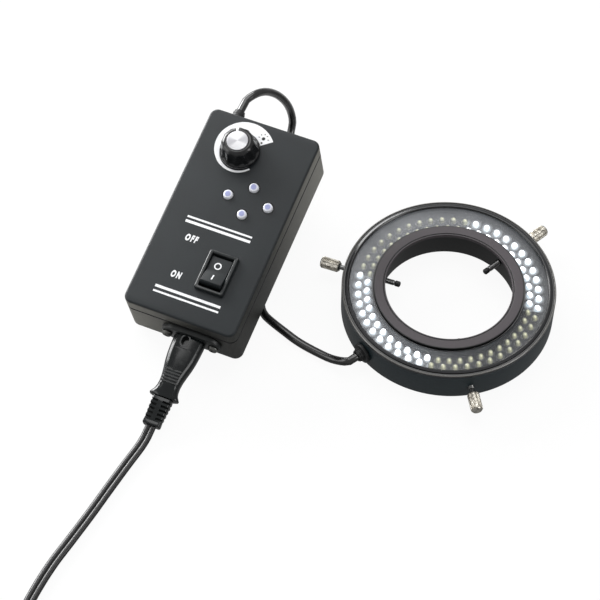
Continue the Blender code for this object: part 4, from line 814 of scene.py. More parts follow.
def case_cover():
    """Its top edge is a quarter round of 1.2 mm."""
    low, high = FACE - 3, FACE + 1
    rings = [case_ring(GROOVE_DEPTH, 21.3), case_ring(0.0, 21.65)]
    rings += [case_ring(1.2 * (1 - math.cos(t)), FACE - 1.2 * (1 - math.sin(t))) for t in quarter_round(6)]
    cover = loft("case_cover", rings, BOX)
    cutters = [slab("room", *ROOM, 20.0, FACE - CASE_WALL, CASE_MIDDLE, 2.0),
               slab("switch_way", 13.4, 19.6, low, high, SWITCH_AT),
               bore("bushing_way", 4.7, (*KNOB_AT, low), (*KNOB_AT, high))]
    cutters += [bore("button_way", KEY_HOLE, (*place, low), (*place, high)) for place in BUTTON_PLACES]
    return smooth(paint(carve(cover, *cutters), CASE))


def case_base():
    """Its bottom edge is a quarter round of 1.5 mm."""
    rings = [case_ring(1.5 * (1 - math.sin(t)), 1.5 * (1 - math.cos(t))) for t in quarter_round(5)]
    rings += [case_ring(0.0, 20.65), case_ring(GROOVE_DEPTH, 21.0)]
    base = loft("case_base", rings, BOX)
    cutters = [slab("room", *ROOM, CASE_WALL, 22.0, CASE_MIDDLE, 2.0),
               slab("inlet_way", 18.6, 6.0, 8.5, 20.5, (INLET_X, 0.0)),
               bore("gland_way", 3.9, (GLAND_X, CASE_LENGTH - 3, ENTRY_HEIGHT),
                    (GLAND_X, CASE_LENGTH + 1, ENTRY_HEIGHT))]
    cutters += [bore("screw_seat", 2.7, (*place, -1), (*place, 1.9)) for place in CASE_SCREWS]
    return smooth(paint(carve(base, *cutters), CASE))


fit(case_cover(), "base", "case_plastic", "box_top_cover")
fit(case_base(), "base", "case_plastic", "box_bottom_cover")

# %% [markdown]
# ## Turned parts, by Geometry Nodes
# The knob, the buttons, the screws and the whole ring are round, so one tree turns them all. Its
# input is the section as a thin wire. The section is carried round a circle, welded, and given its
# finish. The number of steps is a named input.

# %% Opening and closing a tree
def new_tree(name, *inputs):
    """A Geometry Nodes tree with a mesh input, named inputs and a mesh output."""
    tree = bpy.data.node_groups.new(name, "GeometryNodeTree")
    tree.interface.new_socket("Geometry", in_out="INPUT", socket_type="NodeSocketGeometry")
    for label, kind in inputs:
        tree.interface.new_socket(label, in_out="INPUT", socket_type=kind)
    tree.interface.new_socket("Geometry", in_out="OUTPUT", socket_type="NodeSocketGeometry")
    maker = Maker(tree)
    source = tree.nodes.new("NodeGroupInput")
    given = {socket.name: Value(maker, socket) for socket in source.outputs}
    return tree, maker, given


def close_tree(tree, maker, geometry, material):
    real = maker.node("GeometryNodeRealizeInstances", None, [geometry])
    done = maker.node("GeometryNodeSetMaterial", None, {"Geometry": real, "Material": material})
    tree.links.new(done.socket, tree.nodes.new("NodeGroupOutput").inputs[0])
    return tree


print("tree helpers ready")


# %% The turning tree
def turning_tree():
    """The circle's own radius is taken off the section again."""
    tree, maker, given = new_tree("turn_a_section", ("Steps", "NodeSocketInt"),
                                  ("Finish", "NodeSocketMaterial"))
    reach = 0.01
    wire = maker.node("GeometryNodeMeshToCurve", None, [given["Geometry"]])
    laid = maker.node("GeometryNodeTransform", None, {
        "Geometry": wire, "Translation": (-reach, 0, 0), "Rotation": (math.pi / 2, 0, 0)})
    circle = maker.node("GeometryNodeCurvePrimitiveCircle", None, {
        "Resolution": given["Steps"], "Radius": reach})
    skin = maker.node("GeometryNodeCurveToMesh", None, {"Curve": circle, "Profile Curve": laid})
    welded = maker.node("GeometryNodeMergeByDistance", None, {"Geometry": skin, "Distance": 0.002 * MM})
    return close_tree(tree, maker, welded, given["Finish"])


TURNING = turning_tree()


def run_tree(piece, tree, **values):
    """Adds the tree, sets its inputs by their identifiers, and keeps the plain result."""
    step = piece.modifiers.new("shape", "NODES")
    step.node_group = tree
    names = {item.name: item.identifier for item in tree.interface.items_tree if item.in_out == "INPUT"}
    for key, value in values.items():
        step[names[key.replace("_", " ")]] = value
    return plain_mesh(piece)


def turned(name, section, material, where, steps=96, rounding=4):
    """A turned piece from its section of (radius, height, corner radius) in millimetres."""
    points = rounded_section(section, rounding)
    verts = [(r * MM, 0, h * MM) for r, h in points]
    mesh = bpy.data.meshes.new(name)
    mesh.from_pydata(verts, [(i, (i + 1) % len(verts)) for i in range(len(verts))], [])
    piece = bpy.data.objects.new(name, mesh)
    bpy.context.scene.collection.objects.link(piece)
    run_tree(piece, TURNING, Steps=steps, Finish=material)
    tidy_shell(piece)
    piece.data.transform(where)
    return smooth(piece)


print("turning tree ready")

# %% [markdown]
# ## The brightness knob
# A push-on instrument knob in glossy black: a skirt, a body with twelve shallow scallops, a bevelled
# shoulder, and a disc of spun aluminium let into the top. The scallops follow a rule, so the body is
# a loft whose radius is worked out round each ring. A white line on it points at the scale.

# %% Knob finishes
KNOB = BOX @ shift(*KNOB_AT, FACE)
KNOB_CENTRE = KNOB.translation


def glossy_black():
    made = Finish("knob_gloss", Specular_IOR_Level=0.6)
    haze = made.noise(5.0, 2.0)
    dust = made.noise(0.35, 2.0, 0.7)
    made.set(Base_Color=made.mix(dust, "08090a", "191a1b"))
    made.set(Roughness=0.13 + haze * 0.1 + dust.ramp(0.6, 0.8) * 0.2)
    made.relief(haze, 0.03)
    return made.material


def spun_metal():
    """Fine turning grooves bend the reflections, so the light gathers in a cross; the cross's darker wedges
    are also painted into the colour, as a painted reflection.
    """
    made = Finish("spun_aluminium", Metallic=1.0)
    here = made.local(KNOB_CENTRE, BOX_TURN)
    away = made.distance(here) * 1000
    wobble = made.noise(2.0, 2.0)
    grooves = (away * 38 + wobble * 2.0).math("SINE")
    turn = made.angle(here)
    # Two crossing wedges are painted darker, a painted reflection of the cross that spun metal shows; the
    # wedges also change the roughness.
    fan = (turn * 2 + 0.5).math("SINE") * 0.5 + 0.5
    painted_reflection_cross = made.mix(fan.ramp(0.55, 0.95) * 0.6, "c4c4c6", "7c7c82")
    made.set(Base_Color=made.mix(wobble * 0.3, painted_reflection_cross, "b0b0b2"), Roughness=0.36 + fan * 0.1)
    made.relief(grooves, 0.004)
    return made.material


def ink(name, colour, other):
    """Screen-printed ink: almost even, a little thin in places."""
    made = Finish(name)
    thin = made.noise(3.2, 4.0, 0.6)
    made.set(Base_Color=made.mix(thin.ramp(0.35, 0.75), colour, other),
             Roughness=0.5 + thin * 0.15)
    made.relief(thin, 0.01)
    return made.material


GLOSS = glossy_black()
SPUN = spun_metal()
WHITE_INK = ink("white_ink", "eeeff0", "dcdde0")
BLACK_INK = ink("black_ink", "0a0a0a", "161616")
print("knob finishes ready")

# %% Knob body, cap and pointer
SCALLOPS = 12
POINTER_ANGLE = 113.7

# radius, height and depth of the scallops, from the hub inside up to the recess of the disc
KNOB_RINGS = [(3.3, 8.9, 0), (3.3, 5.3, 0), (7.7, 5.3, 0), (7.7, 0.95, 0), (9.6, 0.95, 0),
              (9.8, 1.15, 0), (9.8, 2.0, 0), (9.65, 2.5, 0), (9.4, 2.8, 0.1), (9.2, 3.2, 0.4),
              (9.0, 4.2, 0.6), (8.75, 5.6, 0.6), (8.5, 7.0, 0.6), (8.25, 8.4, 0.55), (8.05, 9.4, 0.4),
              (7.75, 10.1, 0.2), (7.2, 10.75, 0.05), (6.5, 11.2, 0), (6.0, 11.35, 0), (5.5, 11.38, 0),
              (5.3, 11.3, 0), (5.3, 10.8, 0)]


def knob_ring(radius, height, depth, steps=192):
    points = []
    for i in range(steps):
        turn = math.tau * i / steps
        hollow = abs(math.cos(turn * SCALLOPS / 2)) ** 1.5
        out = radius - depth * hollow
        points.append((out * math.cos(turn), out * math.sin(turn), height))
    return points


knob_body = paint(smooth(loft("knob_body", [knob_ring(*ring) for ring in KNOB_RINGS], KNOB), 40), GLOSS)
fit(knob_body, "knob", "black_plastic", "brightness_knob")

cap = turned("knob_disc", [(0, 10.95), (5.15, 10.95), (5.15, 11.75, 0.25), (0, 11.75)], SPUN, KNOB, 96)
fit(cap, "knob", "knob_cap", "knob_cap")


def pointer():
    """A raised white line from the disc over the shoulder."""
    profile = [(5.2, 11.55), (6.2, 11.45), (6.9, 11.12), (7.5, 10.7), (8.0, 9.9), (8.35, 8.4), (8.55, 7.2)]
    rings = [[(r, -0.55, z - 0.4), (r, 0.55, z - 0.4), (r, 0.55, z), (r, -0.55, z)] for r, z in profile]
    made = loft("knob_pointer", rings, KNOB @ spin(POINTER_ANGLE, "Z"))
    return paint(made, WHITE_INK)


fit(pointer(), "knob", "button_white")

# %% [markdown]
# ## Print on the face
# The dial scale is a white crescent that widens towards the bright end, where a small sun is left
# open in it. Two pairs of rules and the words ON and OFF are printed in the same ink, so all of it
# lies a few hundredths of a millimetre above the plastic.

# %% Ink on the face
INK = 0.05


def strip_on_face(name, inner, outer):
    """A printed band between two lines of points."""
    count = len(inner)
    verts = [(x * MM, y * MM, z * MM) for z in (FACE, FACE + INK) for line in (inner, outer) for x, y in line]
    faces = []
    for i in range(count - 1):
        a, b, c, d = i, i + 1, count + i + 1, count + i
        faces += [(a, d, c, b), (a + 2 * count, b + 2 * count, c + 2 * count, d + 2 * count)]
        faces += [(a, b, b + 2 * count, a + 2 * count), (c, d, d + 2 * count, c + 2 * count)]
    for i in (0, count - 1):
        faces.append((i, i + 2 * count, i + 3 * count, i + count))
    return paint(tidy_shell(new_object(name, verts, faces, BOX)), WHITE_INK)


print("ink", INK, "mm above the face")


# %% Dial scale
SCALE_INNER, SCALE_FROM, SCALE_TO, SCALE_STEPS = 10.1, -42, -322, 140

# the scale's outer radius by the share of its sweep
SCALE_EDGE = [(0.0, 10.9), (0.1, 11.15), (0.25, 11.4), (0.38, 12.1), (0.48, 13.1), (0.6, 14.6), (0.74, 15.9),
              (0.88, 16.3), (1.0, 16.4)]


def dial_scale():
    """Starts thin below the knob, runs clockwise, and ends wide at the right."""
    first, last = math.radians(SCALE_FROM), math.radians(SCALE_TO)
    shares, radii = zip(*SCALE_EDGE, strict=True)
    inner, outer = [], []
    for i in range(SCALE_STEPS + 1):
        share = i / SCALE_STEPS
        turn = first + (last - first) * share
        for line, radius in ((inner, SCALE_INNER), (outer, float(np.interp(share, shares, radii)))):
            line.append((KNOB_AT[0] + radius * math.cos(turn), KNOB_AT[1] + radius * math.sin(turn)))
    return strip_on_face("dial_scale", inner, outer)


print("scale from", SCALE_FROM, "to", SCALE_TO, "degrees")


# %% Rules and words
def rule(name, height, thickness, left=-16.6, right=16.7):
    low, high = height - thickness / 2, height + thickness / 2
    return strip_on_face(name, [(left, low), (right, low)], [(left, high), (right, high)])


def printed_word(name, text, place, size, width=0.62, slant=0.12):
    """Lettering as a thin mesh, condensed and a little slanted."""
    curve = bpy.data.curves.new(name, "FONT")
    curve.body = text
    curve.size = size * MM
    curve.shear = slant
    curve.align_x, curve.align_y = "CENTER", "CENTER"
    curve.space_character = 1.45
    curve.extrude = INK / 2 * MM
    curve.offset = 0.27 * MM
    made = bpy.data.objects.new(name, curve)
    bpy.context.scene.collection.objects.link(made)
    graph = bpy.context.evaluated_depsgraph_get()
    mesh = bpy.data.meshes.new_from_object(made.evaluated_get(graph))
    bpy.data.objects.remove(made)
    piece = bpy.data.objects.new(name, mesh)
    bpy.context.scene.collection.objects.link(piece)
    mesh.transform(BOX @ shift(*place, FACE + INK / 2) @ Matrix.Diagonal((width, 1, 1, 1)))
    return paint(piece, WHITE_INK)


LETTER_SIZE = 4.4
THIN, THICK = 0.95, 1.35
prints = [dial_scale(), rule("rule_1", 50.2, THIN), rule("rule_2", 47.8, THICK),
          rule("rule_3", 12.3, THICK), rule("rule_4", 9.7, THIN),
          printed_word("word_off", "OFF", (-10.2, 39.9), LETTER_SIZE),
          printed_word("word_on", "ON", (-9.6, 20.4), LETTER_SIZE)]
fit(merged("face_print", prints), "base", "button_white")


# %% A small sun at the bright end
def sun_mark():
    """A dot with five short rays, and a smaller dot below it."""
    centre = (1.5, 100.1)
    top = FACE + 2 * INK
    marks = [bore("sun", 0.85, (*centre, FACE), (*centre, top), steps=24),
             bore("small_sun", 0.5, (1.45, 97.7, FACE), (1.45, 97.7, top), steps=16)]
    for x, y in [(-0.8, 100.3), (-0.2, 101.8), (1.35, 102.5), (2.8, 101.9), (3.9, 100.2)]:
        turn = math.degrees(math.atan2(y - centre[1], x - centre[0]))
        outline = rounded_box(0.75, 0.4, 0.15, 3)
        marks.append(loft("ray", [level(outline, z) for z in (0, 2 * INK)],
                          BOX @ shift(x, y, FACE) @ spin(turn, "Z")))
    return merged("sun_mark", marks, BLACK_INK)


fit(sun_mark(), "base", "black_plastic")

# %% [markdown]
# ## Rocker switch
# A snap-in rocker: a frame whose bevelled rim stands two millimetres proud, a dark well, and a
# rocker with a shallow V on top. At rest it is pressed at the O end, and it swings 24 degrees to the
# I end. The O and the I are white and ride on the rocker.

# %% Switch plastics
SWING, PIVOT_DEPTH = 24, 0.3
VALLEY, CREST = 1.7, (7.2, 3.05)
SWITCH = BOX @ shift(*SWITCH_AT, FACE)
ROCKER = BOX @ shift(*SWITCH_AT, FACE - PIVOT_DEPTH) @ spin(-SWING / 2, "X")


def switch_plastic(name, colour, light, roughness, shine=0.55):
    made = Finish(name, Specular_IOR_Level=shine)
    grain = made.noise(0.3, 2.0, 0.6)
    cloud = made.noise(4.0, 2.0)
    made.set(Base_Color=made.mix(cloud, colour, light),
             Roughness=roughness + (grain - 0.5) * 0.15 + cloud * 0.08)
    made.relief(grain, 0.02)
    return made.material


SWITCH_FRAME = switch_plastic("switch_frame_plastic", "16191a", "222627", 0.26)
ROCKER_PLASTIC = switch_plastic("rocker_plastic", "14181a", "1d2224", 0.44, 0.3)


print("switch plastics ready")


# %% Frame, rocker and marks
def switch_frame():
    """Width, length, corner and height, from the well inside, over the rim, and down the housing."""
    sizes = [(11.0, 17.4, 0.4, -8.0), (11.0, 17.4, 0.4, 1.5), (11.4, 17.8, 0.5, 1.95),
             (12.0, 18.4, 0.6, 2.1), (13.6, 19.6, 0.8, 2.15), (14.2, 20.2, 0.9, 2.0),
             (14.9, 20.9, 1.1, 0.9), (15.0, 21.0, 1.2, 0.5), (15.0, 21.0, 1.2, 0.3),
             (12.8, 19.0, 0.5, 0.3), (12.8, 19.0, 0.5, -14.6)]
    rings = [level(rounded_box(w, l, c, 5), z) for w, l, c, z in sizes]
    frame_piece = loft("switch_bezel", rings, SWITCH)
    return paint(smooth(frame_piece, 25), SWITCH_FRAME)


def rocker_body():
    """Side view about the pivot, carried across the rocker and bevelled."""
    right = [(6.2, -3.0), (7.2, -1.4), (7.6, 0.4), (7.55, 2.0), CREST]
    outline = right + [(0.6, 1.78), (0.0, VALLEY), (-0.6, 1.78)] + [(-x, y) for x, y in reversed(right)]
    rings = [[(x, y, z) for y, z in outline] for x in (-5.2, 5.2)]
    piece = loft("rocker_paddle", rings, ROCKER)
    step = piece.modifiers.new("edges", "BEVEL")
    step.width, step.segments, step.limit_method, step.angle_limit = 0.3 * MM, 3, "ANGLE", math.radians(40)
    return paint(smooth(plain_mesh(piece), 30), ROCKER_PLASTIC)


def rocker_marks():
    """A ring and a bar on the two slopes of the rocker."""
    slope = math.degrees(math.atan2(CREST[1] - VALLEY, CREST[0]))
    upper, lower = [ROCKER @ shift(0, 0, VALLEY) @ spin(turn, "X") for turn in (slope, -slope)]
    ring = turned("mark_o", [(1.2, -0.05), (1.78, -0.05), (1.78, 0.05), (1.2, 0.05)], WHITE_INK,
                  upper @ shift(-0.7, 2.9, 0.0), 48)
    bar = slab("mark_i", 0.62, 3.0, -0.05, 0.05, (-0.4, -3.9), 0.1, lower)
    return merged("rocker_marks", [ring, paint(bar, WHITE_INK)])


fit(switch_frame(), "base", "black_plastic", "switch_housing")
fit(rocker_body(), "rocker", "black_plastic", "switch_rocker")
fit(rocker_marks(), "rocker", "button_white")

# %% [markdown]
# ## Zone buttons
# Four small keys in a diamond, each a frosted white cap whose middle looks bluish, because the key
# switch shows through it. The tint is a soft disc round each button's own axis.

# %% Buttons
def button_finish(name, x, y):
    made = Finish(name, Specular_IOR_Level=0.6)
    here = made.local(BOX @ Vector((x * MM, y * MM, 0)), BOX_TURN)
    away = made.distance(here) * 1000
    cloud = made.noise(1.2, 2.0)
    middle = 1 - (away + cloud * 0.3).ramp(1.25, 1.95)
    made.set(Base_Color=made.mix(middle, "e2e4ea", "8c91bc"), Roughness=0.3 + cloud * 0.12)
    made.relief(cloud, 0.03)
    return made.material


KEY_SECTION = [(0, 27.0), (2.38, 27.0), (2.38, 28.8), (2.22, 29.0), (2.22, 29.7, 0.2), (2.0, 30.2, 0.5),
               (1.1, 30.4, 0.8), (0, 30.42)]
for n, (x, y) in enumerate(BUTTON_PLACES, 1):
    finish = button_finish(f"button_white_{n}", x, y)
    key = turned(f"zone_key_{n}", KEY_SECTION, finish, BOX @ shift(x, y, 0), 48)
    fit(key, f"button_{n}", "button_white", f"zone_button_{n}")

# %% [markdown]
# ## Copies, by Geometry Nodes
# Screws and feet repeat. One tree takes a mesh of bare points, puts a copy of the given piece at
# each, and sets the finish. A second tree lays copies out evenly round an axis, for the knurls of
# the thumbscrews and the lamps of the ring. Both have named inputs.

# %% Trees for copies
def copies_tree():
    tree, maker, given = new_tree("copies_at_points", ("Piece", "NodeSocketObject"),
                                  ("Finish", "NodeSocketMaterial"))
    source = maker.node("GeometryNodeObjectInfo", None, {"Object": given["Piece"]}, "Geometry")
    laid = maker.node("GeometryNodeInstanceOnPoints", None, {"Points": given["Geometry"], "Instance": source})
    return close_tree(tree, maker, laid, given["Finish"])


def around_tree():
    """Copies round the Z axis; each leans about its own tangent."""
    tree, maker, given = new_tree(
        "copies_round_an_axis", ("Piece", "NodeSocketObject"), ("Count", "NodeSocketInt"),
        ("Radius", "NodeSocketFloat"), ("Height", "NodeSocketFloat"), ("First", "NodeSocketFloat"),
        ("Step", "NodeSocketFloat"), ("Lean", "NodeSocketFloat"), ("Finish", "NodeSocketMaterial"))
    line = maker.node("GeometryNodeMeshLine", None, {"Count": given["Count"]})
    turn = given["First"] + maker.node("GeometryNodeInputIndex") * given["Step"]
    across = turn.math("COSINE") * given["Radius"]
    along = turn.math("SINE") * given["Radius"]
    place = maker.node("ShaderNodeCombineXYZ", None, [across, along, given["Height"]])
    points = maker.node("GeometryNodeSetPosition", None, {"Geometry": line, "Position": place})
    heading = maker.node("ShaderNodeCombineXYZ", None, [0.0, given["Lean"] * -1.0, turn])
    source = maker.node("GeometryNodeObjectInfo", None, {"Object": given["Piece"]}, "Geometry")
    laid = maker.node("GeometryNodeInstanceOnPoints", None, {
        "Points": points, "Instance": source, "Rotation": heading})
    return close_tree(tree, maker, laid, given["Finish"])


COPIES = copies_tree()
AROUND = around_tree()
print("trees for copies ready")


# %% Copies as plain meshes
def copied(name, piece, places, material, where=None):
    """One mesh with the piece at every place, in millimetres."""
    made = new_object(name, [[c * MM for c in place] for place in places], [])
    run_tree(made, COPIES, Piece=piece, Finish=material)
    bpy.data.objects.remove(piece, do_unlink=True)
    made.data.transform(where or Matrix())
    return smooth(made)


def ringed(name, piece, count, radius, height, first, step, lean, material, where):
    """One mesh with the piece at even steps round an axis."""
    made = new_object(name, [], [])
    run_tree(made, AROUND, Piece=piece, Count=count, Radius=radius * MM, Height=height * MM,
             First=math.radians(first), Step=math.radians(step), Lean=math.radians(lean), Finish=material)
    bpy.data.objects.remove(piece, do_unlink=True)
    made.data.transform(where)
    return smooth(made)


print("copies ready")

# %% [markdown]
# ## Screws and feet
# Pan-head screws with a cross recess hold the inlet's ears and close the case from below. Their
# zinc plating is a little clouded. Four rubber feet stand under the corners.

# %% Metal and rubber finishes
def plated(name, colour, shade, roughness, patch=2.5):
    """Plated metal, slightly clouded, with fine marks of turning."""
    made = Finish(name, Metallic=1.0)
    cloud = made.noise(patch, 3.0)
    scratch = made.noise(0.25, 2.0, 0.7)
    made.set(Base_Color=made.mix(cloud.ramp(0.3, 0.75), colour, shade),
             Roughness=roughness + (cloud - 0.5) * 0.16 + scratch * 0.08)
    made.relief(scratch, 0.006)
    return made.material


ZINC = plated("zinc_plating", "80807d", "5c5c5a", 0.38)
NICKEL = plated("nickel_plating", "cdc8bd", "9f998d", 0.3)
HEAD_NICKEL = plated("head_nickel", "efebe1", "7d776c", 0.24, 1.5)
DARK_STEEL = plated("dark_steel", "8d8d8c", "666667", 0.26)
RUBBER = moulded("foot_rubber", "141415", "222223", 0.72, 0.35, 0.03)
print("four metals and the feet's rubber ready")


# %% Screws and feet
def pan_head(radius, height, shank, length, recess):
    """A screw standing on its head's underside, with a cross recess."""
    section = [(0, -length), (shank, -length, 0.3), (shank, 0.0), (radius, 0.0, 0.12),
               (radius, height * 0.35, 0.3), (radius * 0.72, height, 0.5), (0, height)]
    screw = turned("pan_head", section, ZINC, Matrix(), 32)
    arms = [slab(f"arm_{n}", *size, height - recess, height + 0.5, where=Matrix(), corner=0.1)
            for n, size in enumerate([(radius * 1.05, 0.5), (0.5, radius * 1.05)])]
    return carve(screw, *arms)


EAR = 11.8
INLET = BOX @ shift(INLET_X, 0, ENTRY_HEIGHT) @ spin(90, "X")
ear_screws = copied("ear_screws", pan_head(2.6, 1.5, 1.4, 6.5, 0.7), [(x, 0, 3.0) for x in (-EAR, EAR)],
                    ZINC, INLET)
fit(ear_screws, "base", "screw_steel", "inlet_screw_1", "inlet_screw_2")

UNDER = BOX @ spin(180, "X")
case_screws = copied("case_screws", pan_head(2.4, 1.3, 1.4, 22.9, 0.6),
                     [(x, -y, -1.6) for x, y in CASE_SCREWS], ZINC, UNDER)
fit(case_screws, "base", "screw_steel", "case_screw_1", "case_screw_2", "case_screw_3", "case_screw_4")

foot = turned("foot", [(0, 0.3), (4.0, 0.3), (4.0, 1.5), (3.6, FOOT_HEIGHT, 0.25), (2.2, FOOT_HEIGHT, 0.2),
                       (1.9, 1.4, 0.2), (0, 1.4)], RUBBER, Matrix(), 40)
feet = copied("rubber_feet", foot, [(x, -y, 0) for x in (-20.5, 20.5) for y in (10, 98)], RUBBER, UNDER)
fit(feet, "base", "foot_rubber", "rubber_foot_1", "rubber_foot_2", "rubber_foot_3", "rubber_foot_4")

# %% [markdown]
# ## Inlet, connector and strain relief
# The connector is glossy moulded PVC: pillow-shaped in section, narrow at the waist, with two wings
# to pull by. A rule gives its half width along its length, so it is a loft of rounded outlines. The
# strain relief behind it is a slab with a comb of slots on each side, cut by one mesh of copies.

# %% Connector finish
def glossy_pvc(name, colour, light, roughness):
    made = Finish(name, Specular_IOR_Level=0.46)
    wave = made.noise(7.0, 2.0)
    skin = made.noise(3.5, 1.5)
    made.set(Base_Color=made.mix(wave * 0.5 + skin * 0.5, colour, light),
             Roughness=roughness + (wave - 0.5) * 0.1 + skin.ramp(0.55, 0.8) * 0.1)
    made.relief(wave, 0.03)
    return made.material


PVC = glossy_pvc("connector_pvc", "090c0d", "121617", 0.16)
INLET_PLASTIC = glossy_pvc("inlet_plastic", "121414", "202323", 0.34)
print("connector and inlet plastics ready")


# %% Inlet
def stadium(name, width, height, low, high, where):
    """A slab whose ends are half rounds."""
    return slab(name, width, height, low, high, corner=height / 2 - 0.01, where=where, steps=8)


def inlet_socket():
    sizes = [(29.6, 12.6, 0.3), (30.0, 13.0, 0.5), (30.0, 13.0, 2.1), (29.6, 12.6, 2.5), (28.8, 11.8, 2.7)]
    rings = [level(rounded_box(w, h, h / 2 - 0.01), z) for w, h, z in sizes]
    flange = loft("inlet_flange", rings, INLET)
    carve(flange, slab("inlet_back", 18.0, 11.4, -12.0, 0.6, corner=0.8, where=INLET), operation="UNION")
    holes = [stadium("socket", 14.6, 8.2, -8.3, 4.0, INLET)]
    holes += [bore("ear_hole", 1.7, (x, 0, -1), (x, 0, 4), INLET, 24) for x in (-EAR, EAR)]
    return smooth(paint(carve(flange, *holes), INLET_PLASTIC))


fit(inlet_socket(), "base", "black_plastic", "mains_inlet")

# %% Connector
CONNECTOR_START = 3.0
SQUARENESS = 0.72

# half width and half depth by the share of the connector's length
HALF_WIDTH = [(0.0, 7.8), (0.08, 7.75), (0.2, 7.6), (0.32, 7.3), (0.45, 6.7), (0.56, 5.95), (0.66, 5.35),
              (0.76, 5.1), (0.84, 5.3), (0.9, 5.9), (0.945, 6.9), (0.968, 7.35), (0.985, 7.2), (1.0, 5.4)]
HALF_DEPTH = [(0.0, 4.6), (0.5, 4.7), (0.8, 4.4), (1.0, 3.6)]


def pillow(width, depth, height):
    """A rounded outline between an ellipse and a rectangle."""
    def squared(c):
        return math.copysign(abs(c) ** SQUARENESS, c)
    return [(width * squared(x), depth * squared(y), height) for x, y in round_section(1, 48)]


def connector_body():
    along, wide = zip(*HALF_WIDTH, strict=True)
    places, deep = zip(*HALF_DEPTH, strict=True)
    rings = [pillow(7.3, 4.2, CONNECTOR_START), pillow(7.7, 4.5, CONNECTOR_START + 0.15)]
    for i in range(1, 61):
        share = i / 60
        rings.append(pillow(float(np.interp(share, along, wide)), float(np.interp(share, places, deep)),
                            CONNECTOR_START + CONNECTOR_LENGTH * share))
    body = loft("connector", rings, INLET)
    nose = stadium("nose", 14.0, 7.6, -6.6, 4.0, INLET)
    carve(body, nose, operation="UNION")
    notch_place = INLET @ shift(-0.8, 4.7, 5.4) @ spin(-90, "X")
    flat_place = INLET @ shift(0, 4.3, 14.6) @ spin(-90, "X")
    carve(body, slab("lip", 4.6, 6.2, -1.0, 0.05, corner=2.2, where=notch_place), operation="UNION")
    notch = slab("notch", 3.4, 4.8, -2.8, 0.6, corner=1.69, where=notch_place)
    flat = slab("flat_field", 9.0, 11.0, 0, 1.0, corner=1.6, where=flat_place)
    holes = [bore("pin_hole", 1.5, (x, 0, -8), (x, 0, 3), INLET, 20) for x in (-4.3, 4.3)]
    carve(body, notch, flat, *holes)
    ridge = slab("ridge", 8.0, 0.75, 4.0, 4.62, corner=0.3, where=Matrix())
    ridges = copied("grip_ridges", ridge, [(0, -20.6 - 1.55 * n, 0) for n in range(5)], PVC,
                    INLET @ spin(-90, "X"))
    return smooth(merged("connector", [body, ridges], PVC), 40)


fit(connector_body(), "base", "black_plastic", "mains_connector")


# %% Strain relief
def strain_relief():
    """Slots on both sides of a spine; the last block is a plain collar."""
    sizes = [(34.3, 8.6, 5.4), (34.5, 9.2, 5.8), (36.0, 9.4, 6.0), (44.0, 8.7, 5.0), (46.3, 8.5, 4.7),
             (46.5, 8.7, 4.9), (47.9, 8.6, 4.8), (48.3, 8.0, 4.2)]
    body = loft("strain_relief", [level(rounded_box(w, d, 1.1, 5), z) for z, w, d in sizes], INLET)
    tooth = slab("tooth", 5.0, 4.0, -0.58, 0.58, corner=0.1, where=Matrix())
    rows = [(side * (1.1 + 2.5), up * 2.9, 36.4 + 2.15 * n)
            for side in (-1, 1) for up in (-1, 1) for n in range(5)]
    comb = copied("comb", tooth, rows, PVC, INLET)
    return smooth(paint(carve(body, comb), PVC), 30)


fit(strain_relief(), "base", "cord_sheath", "connector_relief")

# %% [markdown]
# ## Cable gland and bush
# Two soft sleeves lead the lamp cable out of the box and into the ring. Each has a lip against the
# wall and ribs that let it bend.

# %% Gland and bush
RING_RADIUS = 51.0
SLEEVE_RUBBER = moulded("sleeve_rubber", "101112", "1d1e1f", 0.5, 0.4, 0.02)


def sleeve(name, length, where):
    """Profile of lip, ribs and end, turned about the cable."""
    pitch = (length - 1.6) / 3
    section = [(2.2, -2.7), (3.55, -2.7), (3.55, 0.3), (5.1, 0.3, 0.1), (5.1, 1.8, 0.4)]
    for n in range(3):
        radius, base = 3.55 - 0.27 * n, 1.9 + n * pitch
        section += [(radius, base), (radius, base + pitch / 2, 0.15)]
        section += [(radius - 0.4, base + pitch / 2 + 0.05), (radius - 0.4, base + pitch)]
    section += [(2.7, 0.2 + length, 0.2), (2.2, 0.2 + length)]
    return turned(name, section, SLEEVE_RUBBER, where, 48)


GLAND = BOX @ shift(GLAND_X, CASE_LENGTH, ENTRY_HEIGHT) @ spin(-90, "X")
fit(sleeve("box_gland", 8.0, GLAND), "base", "cord_sheath", "cable_gland")


def radial(angle, radius=0.0):
    """A frame on the ring whose Z points outwards, at the height of its screws and its bush."""
    return RING @ spin(angle, "Z") @ shift(radius, 0, CROSS_HEIGHT) @ spin(90, "Y")


fit(sleeve("ring_bush", 4.0, radial(BUSH_ANGLE, RING_RADIUS)), "base", "cord_sheath", "ring_cable_bush")

# %% [markdown]
# ## Mains plug and ties
# The plug lies beside the coil of its own lead, outside the picture. It has a ribbed neck, a waist
# to grip, and two flat blades. Each coil is held by one strap.

# %% Plug
PLUG_YAW = math.atan2(PLUG_HEADING.y, PLUG_HEADING.x) + math.pi / 2
PLUG = Matrix.LocRotScale(PLUG_PLACE, Euler((math.pi / 2, 0, PLUG_YAW)), None)
BLADE_X = 6.35


